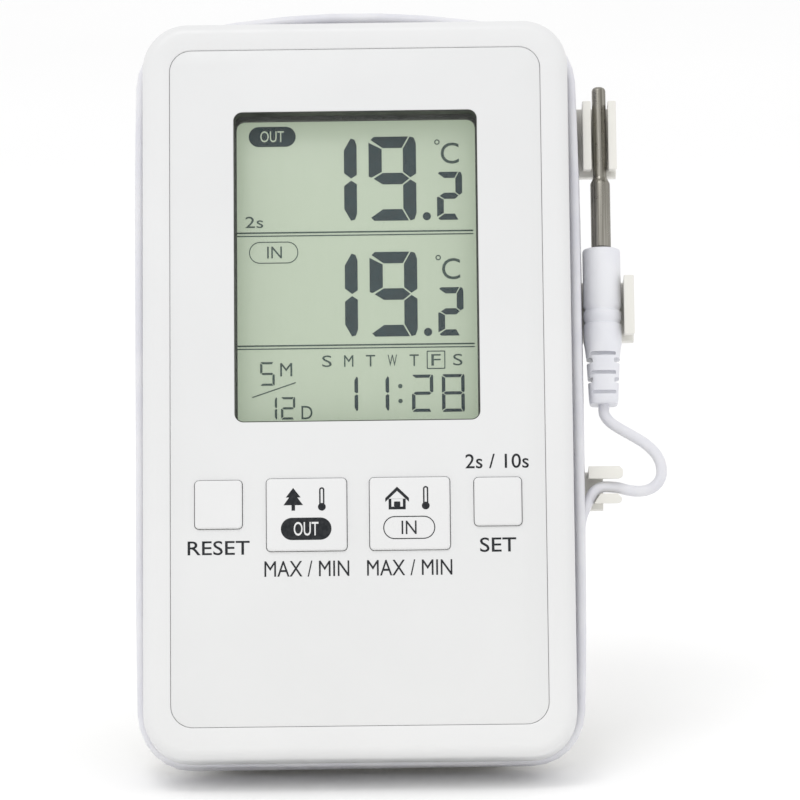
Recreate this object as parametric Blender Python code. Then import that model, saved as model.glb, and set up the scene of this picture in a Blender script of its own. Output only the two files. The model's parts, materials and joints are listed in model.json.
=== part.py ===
"""Digital indoor and outdoor maximum minimum thermometer with a wired probe, standing on its own back stand.

World frame: metres, +Z up, +X to the thermometer's right, its face towards -Y.
The origin is the middle of the small flat foot along the case's lower rear edge.
The case leans back, so its pieces are laid out in millimetres in the case's own frame, under one empty:
x to the right of the centre line, y backwards from the front face, z up from the bottom of the bezel.
"""

from math import cos, pi, radians, sin, tan

import bmesh
import bpy
from mathutils import Matrix, Vector

MM = 0.001

# Stance
LEAN = radians(20)            # how far the case leans back
STAND_OPEN = radians(32)      # the stand's angle from the back when open

# Case
BEZEL_WIDTH, BEZEL_HEIGHT = 62.0, 108.0
BEZEL_CORNER = 6.6
BEZEL_ROUND = 1.8             # rounding of the front edge
BEZEL_DEPTH = 7.0
HUB_WIDTH, HUB_HEIGHT, HUB_CORNER = 55.0, 99.0, 3.0
HUB_BOTTOM = 4.5
REAR_FRONT, REAR_BACK = 14.4, 20.5
REAR_WIDTH, REAR_BOTTOM, REAR_TOP, REAR_CORNER = 58.6, 0.8, 105.6, 12.0
REAR_CHAMFER = 1.0
FOOT_RISE = 0.5               # how high the flat foot cuts into the lower rear edge
WALL = 1.6
CAVITY_BACK = 16.2            # inside face of the back wall behind the electronics
BAY_BOTTOM, BAY_BACK = 84.4, 19.0   # battery bay
TRAY_WALL = 1.4               # wall between the board and the battery bay
GAP = 0.3                     # clearance between neighbouring pieces

# Face
PLATE_WIDTH, PLATE_BOTTOM, PLATE_TOP, PLATE_CORNER = 53.6, 4.7, 103.6, 3.0
PLATE_FRONT, PLATE_BACK = 0.15, 0.75
PANEL_FRONT, PANEL_BACK = 1.05, 2.55
WINDOW_WIDTH, WINDOW_BOTTOM, WINDOW_TOP, WINDOW_CORNER = 35.4, 48.65, 94.5, 1.3
PANE_LAP, PANE_BACK = 1.3, 3.45     # how far the clear pane laps behind the opening, and its rear face

# Buttons: name, centre x, centre z, width, height
BUTTONS = (
    ("reset", -20.05, 36.65, 6.8, 7.0),
    ("out", -7.4, 35.05, 11.5, 10.5),
    ("in", 7.4, 35.05, 11.5, 10.5),
    ("set", 20.05, 36.65, 6.8, 7.0),
)
BUTTON_FRONT = -0.35
BUTTON_BACK = 3.7
BUTTON_FLANGE = 0.8           # how far the button's inner flange stands out round its cap

# Electronics
LCD_WIDTH, LCD_BOTTOM, LCD_TOP = 37.2, 47.2, 95.4
VIEW_WIDTH, VIEW_BOTTOM, VIEW_TOP = 34.8, 48.3, 93.9   # opening of the frame round the display
FRAME_RIM = 1.4               # how far the frame reaches past the display glass
STRIP_WIDTH, STRIP_HEIGHT = 33.0, 1.8                  # rubber strip between display and board
LCD_FRONT, LCD_BACK = 4.65, 6.35
FRAME_FRONT, FRAME_LIP_BACK, FRAME_BACK = 3.75, 4.35, 7.7
BOARD_FRONT, BOARD_BACK = 8.0, 9.0
BOARD_WIDTH, BOARD_BOTTOM, BOARD_TOP, BOARD_CORNER = 49.6, 6.6, 82.4, 9.9
BATTERY_RADIUS, BATTERY_LENGTH = 5.25, 44.5
BATTERY_Y, BATTERY_Z = 13.5, 90.2
CONTACT_X, CONTACT_THICK, CONTACT_HALF = 22.6, 0.5, 4.0
CHIP_Z, CHIP_RADIUS = 58.0, 7.0
CRYSTAL_X, CRYSTAL_Z, CRYSTAL_RADIUS, CRYSTAL_HALF = 12.0, 48.0, 1.0, 3.0
BEAD_X, BEAD_Z = -10.0, 12.0  # room thermistor
PART_Y = 10.5                 # middle of the small parts behind the board
SWITCH_HALF, SWITCH_FRONT = 3.0, 5.2
PLUNGER_RADIUS, PLUNGER_FRONT, PLUNGER_BACK = 1.5, 4.0, 6.2

# Screws, through the back and the board into pillars of the front cover
SCREWS = ((-21.5, 15.0), (21.5, 15.0), (-22.8, 77.0), (22.8, 77.0))
SCREW_RADIUS, SCREW_HEAD = 1.1, 2.1
SCREW_SEAT, SCREW_FACE = 18.6, 20.2
SCREW_HOLE, BOARD_HOLE, HEAD_HOLE = 1.4, 1.6, 2.5
PILLAR_RADIUS, BOSS_RADIUS, BOSS_FRONT = 2.2, 2.8, 9.3

# Keyhole to hang it by
KEYHOLE_Z, KEYHOLE_RADIUS, KEYHOLE_SLOT, KEYHOLE_TOP = 69.5, 3.6, 3.8, 76.5
KEYHOLE_POCKET, KEYHOLE_FACE = (65.5, 78.5), 19.3      # the hollow behind it for a screw's head

# Battery door
DOOR_WIDTH, DOOR_BOTTOM, DOOR_FRONT = 52.0, 82.8, 19.1
DOOR_RAIL, DOOR_RAIL_THICK = 1.0, 0.5   # how far its side rails reach under the case's edges

# Stand
HINGE_Y, HINGE_Z = 19.05, 60.0
STAND_WIDTH, STAND_THICK = 31.0, 2.2
STAND_HEEL = 1.5              # how far it reaches past the hinge
RECESS_FLOOR, RECESS_BOTTOM = 17.6, 2.6
PIN_RADIUS, PIN_LENGTH = 0.5, 37.4

# Probe and what holds it
PROBE_X, PROBE_Y = 35.75, 12.0
HANDLE_TOP, HANDLE_RADIUS = 75.85, 2.78
HANDLE_RINGS = (64.6, 66.5)   # lower edges of the two shallow rings
RING_HEIGHT, RING_DEPTH = 0.8, 0.18
BOOT_BOTTOM, BOOT_RADIUS = 52.7, 2.1
THICK_STEM, THIN_STEM = 1.45, 1.02
STEM_SHOULDER, STEM_TOP = 85.8, 100.0
HOLDER_BACK, HOLDER_THICK = 16.2, 1.6                  # plates of the upper clip and the hook
ARM_FRONT, FINGER_FRONT = 9.5, 9.3
UPPER_CLIP, UPPER_ARMS = (87.4, 97.8), ((33.25, 34.5), (37.0, 38.2))
LOWER_CLIP, LOWER_ARM, LOWER_BACK = (62.75, 71.6), (38.9, 40.4), 16.7
HOOK, HOOK_EDGE = (37.7, 43.2), 35.5
DRAFT = 1.0                   # how much arms and fingers taper towards their plates
GLAND_Y, GLAND_Z = 12.6, 20.0
GLAND_FLANGE, GLAND_HOLE, GLAND_BORE = 2.6, 2.0, 1.0
CORD_RADIUS = 0.8

# Winding of the sensor cord in the groove round the case
WINDING_FRONT, WINDING_BACK = 7.3, 14.1
WINDING_ROUND = 1.5
WINDING_LAYERS = 4.5          # thickness of the wound layers
BULGE_TOP, BULGE_LEFT, BULGE_RIGHT = 3.3, 0.4, 0.6
BULGE_REACH = 48.0            # half the height over which the sides stand out


# ---------------------------------------------------------------- helpers

def clear_scene():
    for thing in list(bpy.data.objects):
        bpy.data.objects.remove(thing, do_unlink=True)


def finish_material(name, colour, roughness, metallic=0.0):
    material = bpy.data.materials.new(name)
    material.use_nodes = True
    shader = material.node_tree.nodes["Principled BSDF"]
    shader.inputs["Base Color"].default_value = (*colour, 1.0)
    shader.inputs["Roughness"].default_value = roughness
    shader.inputs["Metallic"].default_value = metallic
    return material


def rounded(width, bottom, top, corner, steps=6, centre=0.0):
    """A rectangle with round corners, as (x, z) points going round anticlockwise."""
    points = []
    for quarter, (side, end) in enumerate(((1, 1), (-1, 1), (-1, -1), (1, -1))):
        x = centre + side * (width / 2 - corner)
        z = (top if end > 0 else bottom) - end * corner
        for step in range(steps + 1):
            angle = (quarter + step / steps) * pi / 2
            points.append((x + corner * cos(angle), z + corner * sin(angle)))
    return points


def box_outline(low_x, high_x, low_z, high_z):
    return [(high_x, low_z), (high_x, high_z), (low_x, high_z), (low_x, low_z)]


def make(name, build, material, parent, place=(0, 0, 0), turn=0.0):
    """Makes one object from a bmesh in millimetres, placed in its parent in millimetres."""
    build.normal_update()
    bmesh.ops.recalc_face_normals(build, faces=build.faces)
    bmesh.ops.scale(build, vec=(MM, MM, MM), verts=build.verts)
    mesh = bpy.data.meshes.new(name)
    build.to_mesh(mesh)
    build.free()
    mesh.shade_smooth()
    mesh.set_sharp_from_angle(angle=radians(35))
    thing = bpy.data.objects.new(name, mesh)
    bpy.context.scene.collection.objects.link(thing)
    if material:
        mesh.materials.append(material)
    thing.parent = parent
    thing.location = Vector(place) * MM
    thing.rotation_euler.x = turn
    return thing


def loft(sections, closed=False):
    """Joins outlines of equal point counts, each given as (y, outline); closed makes a ring with no ends."""
    build = bmesh.new()
    rings = []
    for y, outline in sections:
        rings.append([build.verts.new((x, y, z)) for x, z in outline])
    pairs = list(zip(rings, rings[1:]))
    if closed:
        pairs.append((rings[-1], rings[0]))
    else:
        build.faces.new(rings[0])
        build.faces.new(rings[-1])
    for first, second in pairs:
        for k in range(len(first)):
            n = (k + 1) % len(first)
            build.faces.new((first[k], first[n], second[n], second[k]))
    return build


def prism(outline, front, back):
    return loft([(front, outline), (back, outline)])


def turned(profile, axis, segments=16):
    """A solid of revolution about an axis through the origin, from (radius, distance along) pairs."""
    spin = {"X": Matrix.Rotation(pi / 2, 4, "Y"), "Y": Matrix.Rotation(-pi / 2, 4, "X"), "Z": Matrix()}[axis]
    build = bmesh.new()
    rings = []
    for radius, along in profile:
        if radius == 0:
            rings.append([build.verts.new((0, 0, along))])
            continue
        ring = []
        for k in range(segments):
            angle = 2 * pi * k / segments
            ring.append(build.verts.new((radius * cos(angle), radius * sin(angle), along)))
        rings.append(ring)
    for ring in (rings[0], rings[-1]):
        if len(ring) > 1:
            build.faces.new(ring)
    for first, second in zip(rings, rings[1:]):
        for k in range(segments):
            n = (k + 1) % segments
            corners = [first[k % len(first)], first[n % len(first)],
                       second[n % len(second)], second[k % len(second)]]
            build.faces.new(list(dict.fromkeys(corners)))
    bmesh.ops.transform(build, matrix=spin, verts=build.verts)
    return build


def combine(thing, build, operation="DIFFERENCE", place=(0, 0, 0)):
    """Cuts a solid out of a piece, joins one to it or keeps what both share, for good."""
    tool = make("tool", build, None, thing.parent, place)
    tool.rotation_euler = thing.rotation_euler
    step = thing.modifiers.new("step", "BOOLEAN")
    step.operation = operation
    step.solver = "EXACT"
    step.object = tool
    bpy.context.view_layer.update()
    whole = thing.evaluated_get(bpy.context.evaluated_depsgraph_get())
    result = bpy.data.meshes.new_from_object(whole)
    result.name = thing.name
    thing.modifiers.clear()
    thing.data = result
    bpy.data.objects.remove(tool, do_unlink=True)


def empty(name, parent=None, place=(0, 0, 0)):
    thing = bpy.data.objects.new(name, None)
    bpy.context.scene.collection.objects.link(thing)
    thing.parent = parent
    thing.location = Vector(place) * MM
    return thing


def grown(button, by):
    _, x, z, width, height = button
    return rounded(width + 2 * by, z - height / 2 - by, z + height / 2 + by, 0.6 + by, 3, x)


# ---------------------------------------------------------------- case

def front_cover(case):
    """Moulded bezel: recess for the face plate, panel wall, window and button openings, screw pillars."""
    def bezel(inset):
        return rounded(BEZEL_WIDTH - 2 * inset, inset, BEZEL_HEIGHT - inset, BEZEL_CORNER - inset, 7)

    sections = []
    for step in range(4):
        angle = step / 3 * pi / 2
        sections.append((BEZEL_ROUND * (1 - sin(angle)), bezel(BEZEL_ROUND * (1 - cos(angle)))))
    sections.reverse()
    sections.append((BEZEL_DEPTH, bezel(0)))
    cover = make("front_cover", loft(sections), WHITE, case)
    recess = rounded(PLATE_WIDTH + 2 * GAP, PLATE_BOTTOM - GAP, PLATE_TOP + GAP, PLATE_CORNER + GAP)
    combine(cover, prism(recess, -1, PANEL_FRONT))
    inside = rounded(HUB_WIDTH + 2 * GAP, HUB_BOTTOM - GAP, HUB_BOTTOM + HUB_HEIGHT + GAP, HUB_CORNER + GAP)
    combine(cover, prism(inside, PANEL_BACK, BEZEL_DEPTH + 1))
    for x, z in SCREWS:
        pillar = [(PILLAR_RADIUS, PANEL_BACK - 0.5), (PILLAR_RADIUS, FRAME_BACK)]
        hole = [(SCREW_HOLE, PANEL_BACK + 1), (SCREW_HOLE, FRAME_BACK + 1)]
        combine(cover, turned(pillar, "Y", 12), "UNION", (x, 0, z))
        combine(cover, turned(hole, "Y", 12), "DIFFERENCE", (x, 0, z))
    window = rounded(WINDOW_WIDTH, WINDOW_BOTTOM, WINDOW_TOP, WINDOW_CORNER, 4)
    combine(cover, prism(window, -1, PANEL_BACK + 1))
    for button in BUTTONS:
        combine(cover, prism(grown(button, GAP), -1, PANEL_BACK + 1))
    return cover


def faceplate(case):
    """Thin printed plate laid in the bezel's recess."""
    outline = rounded(PLATE_WIDTH, PLATE_BOTTOM, PLATE_TOP, PLATE_CORNER)
    plate = make("faceplate", prism(outline, PLATE_FRONT, PLATE_BACK), PLATE, case)
    window = rounded(WINDOW_WIDTH, WINDOW_BOTTOM, WINDOW_TOP, WINDOW_CORNER, 4)
    combine(plate, prism(window, -1, 2))
    for button in BUTTONS:
        combine(plate, prism(grown(button, GAP), -1, 2))


def rear_outline(inset=0.0):
    return rounded(REAR_WIDTH - 2 * inset, REAR_BOTTOM + inset, REAR_TOP - inset, REAR_CORNER - inset, 6)


def rear_block():
    return loft([(REAR_FRONT, rear_outline()), (REAR_BACK - REAR_CHAMFER, rear_outline()),
                 (REAR_BACK, rear_outline(REAR_CHAMFER))])


def foot_height(y):
    """Height of the surface that the case stands on, in the case's frame."""
    return REAR_BOTTOM + FOOT_RISE + (y - (REAR_BACK - REAR_CHAMFER)) * tan(LEAN)


def foot_centre():
    """Middle of the flat foot that this surface cuts into the lower rear edge."""
    start = REAR_BACK - REAR_CHAMFER - FOOT_RISE / tan(LEAN)
    end = REAR_BACK - REAR_CHAMFER + FOOT_RISE / (1 - tan(LEAN))
    middle = (start + end) / 2
    return middle, foot_height(middle)


def rear_cover(case):
    """Moulded back: hub that the cord winds round, flange, stand recess, battery bay and screw bosses."""
    hub = rounded(HUB_WIDTH, HUB_BOTTOM, HUB_BOTTOM + HUB_HEIGHT, HUB_CORNER, 6)
    cover = make("rear_cover", rear_block(), IVORY, case)
    combine(cover, prism(hub, 5.6, REAR_FRONT + 1), "UNION")

    inner = HUB_BOTTOM + WALL, HUB_BOTTOM + HUB_HEIGHT - WALL
    full = rounded(HUB_WIDTH - 2 * WALL, *inner, HUB_CORNER - WALL, 6)
    room = make("room", prism(full, 5, BAY_BACK), None, case)
    combine(room, prism(box_outline(-40, 40, -10, BAY_BOTTOM), CAVITY_BACK, 30))
    combine(room, prism(box_outline(-40, 40, BAY_BOTTOM - TRAY_WALL, BAY_BOTTOM), BOARD_FRONT, 30))
    combine(cover, taken(room))

    for x, z in SCREWS:
        boss = [(BOSS_RADIUS, BOSS_FRONT), (BOSS_RADIUS, CAVITY_BACK + 1)]
        hole = [(SCREW_HOLE, BOSS_FRONT - 1), (SCREW_HOLE, REAR_BACK + 1)]
        counterbore = [(HEAD_HOLE, SCREW_SEAT - GAP), (HEAD_HOLE, REAR_BACK + 1)]
        combine(cover, turned(boss, "Y", 12), "UNION", (x, 0, z))
        combine(cover, turned(hole, "Y", 12), "DIFFERENCE", (x, 0, z))
        combine(cover, turned(counterbore, "Y", 12), "DIFFERENCE", (x, 0, z))

    side = STAND_WIDTH / 2 + 0.5
    recess = box_outline(-side, side, RECESS_BOTTOM, HINGE_Z + STAND_HEEL + 0.6)
    combine(cover, prism(recess, RECESS_FLOOR, REAR_BACK + 1))
    reach = PIN_LENGTH / 2 + GAP
    combine(cover, turned([(PIN_RADIUS + GAP, -reach), (PIN_RADIUS + GAP, reach)], "X", 12),
            "DIFFERENCE", (0, HINGE_Y, HINGE_Z))

    pocket = KEYHOLE_RADIUS + 0.6
    combine(cover, prism(box_outline(-pocket, pocket, *KEYHOLE_POCKET), RECESS_FLOOR, KEYHOLE_FACE))
    keyhole = [(KEYHOLE_RADIUS, KEYHOLE_FACE - GAP), (KEYHOLE_RADIUS, REAR_BACK + 1)]
    combine(cover, turned(keyhole, "Y", 20), "DIFFERENCE", (0, 0, KEYHOLE_Z))
    slot = rounded(KEYHOLE_SLOT, KEYHOLE_Z + 0.5, KEYHOLE_TOP, KEYHOLE_SLOT / 2 - 0.05, 4)
    combine(cover, prism(slot, KEYHOLE_FACE - GAP, REAR_BACK + 1))

    door = DOOR_WIDTH / 2 + GAP
    rail = door + DOOR_RAIL
    combine(cover, prism(box_outline(-door, door, DOOR_BOTTOM - GAP, 120), DOOR_FRONT - GAP, 30))
    groove = box_outline(-rail, rail, DOOR_BOTTOM - GAP, 120)
    combine(cover, prism(groove, DOOR_FRONT - GAP, DOOR_FRONT + DOOR_RAIL_THICK + GAP))

    bore = [(GLAND_HOLE, HUB_WIDTH / 2 - 7), (GLAND_HOLE, HUB_WIDTH / 2 + 3)]
    combine(cover, turned(bore, "X", 12), "DIFFERENCE", (0, GLAND_Y, GLAND_Z))

    floor = [(-5, foot_height(-5)), (30, foot_height(30)), (30, -20), (-5, -20)]
    build = bmesh.new()
    ends = [[build.verts.new((x, y, z)) for y, z in floor] for x in (-40, 40)]
    build.faces.new(ends[0])
    build.faces.new(ends[1])
    for k in range(4):
        n = (k + 1) % 4
        build.faces.new((ends[0][k], ends[0][n], ends[1][n], ends[1][k]))
    combine(cover, build)


def taken(thing):
    """Turns a helper solid back into a bmesh in millimetres and removes it."""
    build = bmesh.new()
    build.from_mesh(thing.data)
    bmesh.ops.scale(build, vec=(1 / MM, 1 / MM, 1 / MM), verts=build.verts)
    bpy.data.objects.remove(thing, do_unlink=True)
    return build


def battery_door(case):
    """Sliding door over the battery bay, with a rail along each side."""
    half = DOOR_WIDTH / 2
    panel = box_outline(-half, half, DOOR_BOTTOM, 120)
    door = make("battery_door", prism(panel, DOOR_FRONT, 30), IVORY, case)
    rails = box_outline(-half - DOOR_RAIL, half + DOOR_RAIL, DOOR_BOTTOM, 120)
    combine(door, prism(rails, DOOR_FRONT, DOOR_FRONT + DOOR_RAIL_THICK), "UNION")
    combine(door, rear_block(), "INTERSECT")


def case_screws(case):
    for number, (x, z) in enumerate(SCREWS, 1):
        profile = [(0.3, 4.0), (SCREW_RADIUS, 4.6), (SCREW_RADIUS, SCREW_SEAT),
                   (SCREW_HEAD, SCREW_SEAT), (SCREW_HEAD, SCREW_FACE)]
        screw = make(f"case_screw_{number}", turned(profile, "Y", 12), STEEL, case, (x, 0, z))
        for long, high in ((1.3, 0.25), (0.25, 1.3)):
            cross = prism(box_outline(-long, long, -high, high), SCREW_FACE - 0.6, SCREW_FACE + 1)
            combine(screw, cross, "DIFFERENCE", (x, 0, z))


# ---------------------------------------------------------------- face and buttons

def display(case):
    """Clear window, dark holder, the two-glass display cell and the rubber strip that connects it."""
    window = rounded(WINDOW_WIDTH + 2 * PANE_LAP, WINDOW_BOTTOM - PANE_LAP, WINDOW_TOP + PANE_LAP, 1.5, 3)
    make("display_window", prism(window, PANEL_BACK + GAP, PANE_BACK), CLEAR, case)
    holder = rounded(LCD_WIDTH + 2 * FRAME_RIM, LCD_BOTTOM - FRAME_RIM, LCD_TOP + FRAME_RIM, 1.5, 3)
    frame = make("lcd_frame", prism(holder, FRAME_FRONT, FRAME_BACK), BLACK, case)
    view = rounded(VIEW_WIDTH, VIEW_BOTTOM, VIEW_TOP, 1.2, 3)
    combine(frame, prism(view, 0, FRAME_BACK + 1))
    seat = rounded(LCD_WIDTH + 2 * GAP, LCD_BOTTOM - GAP, LCD_TOP + GAP, 0.5, 2)
    combine(frame, prism(seat, FRAME_LIP_BACK, FRAME_BACK + 1))
    half = LCD_WIDTH / 2
    make("lcd_cell", prism(box_outline(-half, half, LCD_BOTTOM, LCD_TOP), LCD_FRONT, LCD_BACK), LCD, case)
    bottom = LCD_BOTTOM + GAP
    strip = box_outline(-STRIP_WIDTH / 2, STRIP_WIDTH / 2, bottom, bottom + STRIP_HEIGHT)
    make("zebra_strip", prism(strip, LCD_BACK + GAP, FRAME_BACK), RUBBER, case)


def buttons(case):
    """Each button is a cap with an inner flange, and pushes the plunger of a switch on the board."""
    for button in BUTTONS:
        name, x, z, width, height = button
        centre = (x, 0, z)

        def outline(by, corner):
            return rounded(width + 2 * by, -height / 2 - by, height / 2 + by, corner, 3)

        cap = loft([(BUTTON_FRONT, outline(-0.3, 0.4)), (BUTTON_FRONT + 0.3, outline(0, 0.6)),
                    (2.85, outline(0, 0.6)), (2.85, outline(BUTTON_FLANGE, 0.8)),
                    (BUTTON_BACK, outline(BUTTON_FLANGE, 0.8))])
        make(f"{name}_button", cap, WHITE, case, centre)
        plunger = turned([(PLUNGER_RADIUS, PLUNGER_FRONT), (PLUNGER_RADIUS, PLUNGER_BACK)], "Y", 12)
        make(f"{name}_switch_plunger", plunger, BLACK, case, centre)
        square = box_outline(-SWITCH_HALF, SWITCH_HALF, -SWITCH_HALF, SWITCH_HALF)
        body = prism(square, SWITCH_FRONT, FRAME_BACK)
        body = make(f"{name}_switch_body", body, STEEL, case, centre)
        well = PLUNGER_RADIUS + GAP
        bore = [(well, SWITCH_FRONT - 1), (well, PLUNGER_BACK + 1)]
        combine(body, turned(bore, "Y", 12), "DIFFERENCE", centre)


def electronics(case):
    outline = rounded(BOARD_WIDTH, BOARD_BOTTOM, BOARD_TOP, BOARD_CORNER, 4)
    board = make("circuit_board", prism(outline, BOARD_FRONT, BOARD_BACK), GREEN, case)
    for x, z in SCREWS:
        hole = [(BOARD_HOLE, BOARD_FRONT - 1), (BOARD_HOLE, BOARD_BACK + 1)]
        combine(board, turned(hole, "Y", 12), "DIFFERENCE", (x, 0, z))
    base = BOARD_BACK + GAP
    blob = [(CHIP_RADIUS, base), (CHIP_RADIUS * 0.9, base + 0.7), (CHIP_RADIUS * 0.6, base + 1.2),
            (0, base + 1.4)]
    make("chip_blob", turned(blob, "Y", 16), BLACK, case, (0, 0, CHIP_Z))
    can = [(CRYSTAL_RADIUS, -CRYSTAL_HALF), (CRYSTAL_RADIUS, CRYSTAL_HALF)]
    make("crystal", turned(can, "X", 12), STEEL, case, (CRYSTAL_X, PART_Y, CRYSTAL_Z))
    bead = [(0, -1.3), (0.8, -0.9), (1.1, 0), (0.8, 0.9), (0, 1.3)]
    make("indoor_thermistor", turned(bead, "Z", 12), BLACK, case, (BEAD_X, PART_Y, BEAD_Z))
    half = BATTERY_LENGTH / 2
    shape = [(BATTERY_RADIUS, -half), (BATTERY_RADIUS, half - 1.0), (1.9, half - 1.0), (1.9, half)]
    make("battery", turned(shape, "X", 20), BATTERY, case, (0, BATTERY_Y, BATTERY_Z))
    coil = [(3.2, -24.8), (3.2, -24.3), (2.2, -22.7), (1.0, -22.7)]
    make("battery_spring", turned(coil, "X", 16), STEEL, case, (0, BATTERY_Y, BATTERY_Z))
    low, high = BATTERY_Z - CONTACT_HALF, BATTERY_Z + CONTACT_HALF
    tab = box_outline(CONTACT_X, CONTACT_X + CONTACT_THICK, low, high)
    make("battery_contact", prism(tab, 9.5, 17.5), STEEL, case)


# ---------------------------------------------------------------- stand

def stand(case):
    """Folding back stand on a steel pin; its foot is cut level when it stands open."""
    hinge_up = (HINGE_Z - foot_centre()[1]) * cos(LEAN) - (HINGE_Y - foot_centre()[0]) * sin(LEAN)
    tilt = STAND_OPEN - LEAN
    length = hinge_up / cos(tilt)
    rise = STAND_THICK / 2 * tan(tilt)
    half = STAND_THICK / 2
    side = [(-half, -length + rise), (half, -length - rise), (half, STAND_HEEL), (-0.4, STAND_HEEL),
            (-half, 0.5)]
    build = bmesh.new()
    ends = [[build.verts.new((x, y, z)) for y, z in side]
            for x in (-STAND_WIDTH / 2, STAND_WIDTH / 2)]
    build.faces.new(ends[0])
    build.faces.new(ends[1])
    for k in range(len(side)):
        n = (k + 1) % len(side)
        build.faces.new((ends[0][k], ends[0][n], ends[1][n], ends[1][k]))
    place = (0, HINGE_Y, HINGE_Z)
    leg = make("stand", build, IVORY, case, place, STAND_OPEN)
    combine(leg, turned([(PIN_RADIUS + GAP, -20), (PIN_RADIUS + GAP, 20)], "X", 12), "DIFFERENCE", place)
    reach = PIN_LENGTH / 2
    make("stand_pin", turned([(PIN_RADIUS, -reach), (PIN_RADIUS, reach)], "X", 12), STEEL, case, place)


# ---------------------------------------------------------------- probe and its holders

def tapered(outline, front, back):
    """An arm or a finger whose under side rises as it goes back."""
    low, high = min(z for x, z in outline), max(z for x, z in outline)
    return loft([(front, outline), (back, [(x, z + DRAFT * (high - z) / (high - low)) for x, z in outline])])


def holders(case):
    """Clips and hook moulded along the right edge of the back."""
    edge = REAR_WIDTH / 2 + GAP
    front = HOLDER_BACK - HOLDER_THICK
    plate = box_outline(edge, UPPER_ARMS[1][1], *UPPER_CLIP)
    upper = make("probe_clip_upper", prism(plate, front, HOLDER_BACK), IVORY, case)
    for arm in UPPER_ARMS:
        combine(upper, tapered(box_outline(*arm, *UPPER_CLIP), ARM_FRONT, front + 0.4), "UNION")
    plate = box_outline(edge, LOWER_ARM[1], *LOWER_CLIP)
    lower = make("probe_clip_lower", prism(plate, LOWER_BACK - HOLDER_THICK, LOWER_BACK), IVORY, case)
    arm = box_outline(*LOWER_ARM, *LOWER_CLIP)
    combine(lower, tapered(arm, ARM_FRONT, LOWER_BACK - HOLDER_THICK + 0.4), "UNION")
    hook = make("cord_hook", prism(box_outline(edge, HOOK_EDGE, *HOOK), front, HOLDER_BACK), IVORY, case)
    finger = [(38.3, 42.7), (37.8, 43.2), (33.3, 43.2), (33.3, 41.35), (37.8, 41.35), (38.3, 41.8)]
    combine(hook, tapered(finger, FINGER_FRONT, front + 0.9), "UNION")
    finger = [(38.1, 38.2), (38.1, 38.5), (37.5, 39.15), (35.0, 39.15), (34.05, 37.7), (37.6, 37.7)]
    combine(hook, tapered(finger, FINGER_FRONT, front + 0.9), "UNION")


def probe(case):
    axis = empty("probe_axis", case, (PROBE_X, PROBE_Y, 0))
    full, neck = HANDLE_RADIUS, HANDLE_RADIUS - RING_DEPTH
    grip = [(BOOT_RADIUS, BOOT_BOTTOM), (BOOT_RADIUS + 0.1, BOOT_BOTTOM + 1.3), (full - 0.28, 60.0),
            (full, 61.6)]
    for low in HANDLE_RINGS:
        grip += [(full, low), (neck, low + 0.2), (neck, low + RING_HEIGHT - 0.2), (full, low + RING_HEIGHT)]
    grip += [(full, HANDLE_TOP - 0.25), (full - 0.28, HANDLE_TOP)]
    make("probe_handle", turned(grip, "Z", 20), LAVENDER, axis)
    stem = [(THICK_STEM, HANDLE_TOP + GAP), (THICK_STEM, STEM_SHOULDER), (THIN_STEM, STEM_SHOULDER + 0.9),
            (THIN_STEM, STEM_TOP), (THIN_STEM * 0.7, STEM_TOP + 0.4)]
    make("probe_stem", turned(stem, "Z", 16), STEEL, axis)


# ---------------------------------------------------------------- sensor cord

def wound_outline(depth):
    """Outline of the winding at a depth of wound cord over the hub, slack over the top and at the sides."""
    share = depth / WINDING_LAYERS
    bottom, top = HUB_BOTTOM - depth, HUB_BOTTOM + HUB_HEIGHT + depth
    half = HUB_WIDTH / 2 + depth
    corner = HUB_CORNER + depth
    points = []
    straight = 7
    turns = rounded(2 * half, bottom, top, corner, 6)
    for quarter in range(4):
        arc = turns[quarter * 7:quarter * 7 + 7]
        points.extend(arc)
        start, end = arc[-1], turns[(quarter * 7 + 7) % 28]
        for step in range(1, straight):
            along = step / straight
            x = start[0] + (end[0] - start[0]) * along
            z = start[1] + (end[1] - start[1]) * along
            swell = share * max(0.0, 1 - ((z - BEZEL_HEIGHT / 2) / BULGE_REACH) ** 4)
            if quarter == 1:
                x -= BULGE_LEFT * swell
            elif quarter == 3:
                x += BULGE_RIGHT * swell
            points.append((x, z))
    return [(x, z + lift(x, z) * share) for x, z in points]


def lift(x, z):
    """How far the slack cord stands up over the top of the hub."""
    if z < BEZEL_HEIGHT / 2:
        return 0.0
    return BULGE_TOP * max(0.0, 1 - (2 * x / HUB_WIDTH) ** 2)


def cord_gland(case):
    """Bush in the hub wall where the sensor cord comes out into the groove."""
    face = HUB_WIDTH / 2
    neck = GLAND_HOLE - GAP
    profile = [(GLAND_FLANGE, face - 2.8), (GLAND_FLANGE, face - 1.9), (neck, face - 1.9),
               (neck, face - 0.05)]
    gland = make("cord_gland", turned(profile, "X", 12), RUBBER, case, (0, GLAND_Y, GLAND_Z))
    bore = [(GLAND_BORE, face - 7), (GLAND_BORE, face + 3)]
    combine(gland, turned(bore, "X", 12), "DIFFERENCE", (0, GLAND_Y, GLAND_Z))


def cord_winding(case):
    """The outer shape of the cord wound round the hub, as one ring."""
    near = GAP
    far = WINDING_LAYERS
    soft = WINDING_ROUND
    section = [(WINDING_FRONT, near), (WINDING_BACK, near), (WINDING_BACK, far - soft),
               (WINDING_BACK - soft * 0.3, far - soft * 0.3), (WINDING_BACK - soft, far),
               (WINDING_FRONT + soft, far), (WINDING_FRONT + soft * 0.3, far - soft * 0.3),
               (WINDING_FRONT, far - soft)]
    ring = loft([(y, wound_outline(depth)) for y, depth in section], closed=True)
    make("cord_winding", ring, LAVENDER, case)


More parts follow.
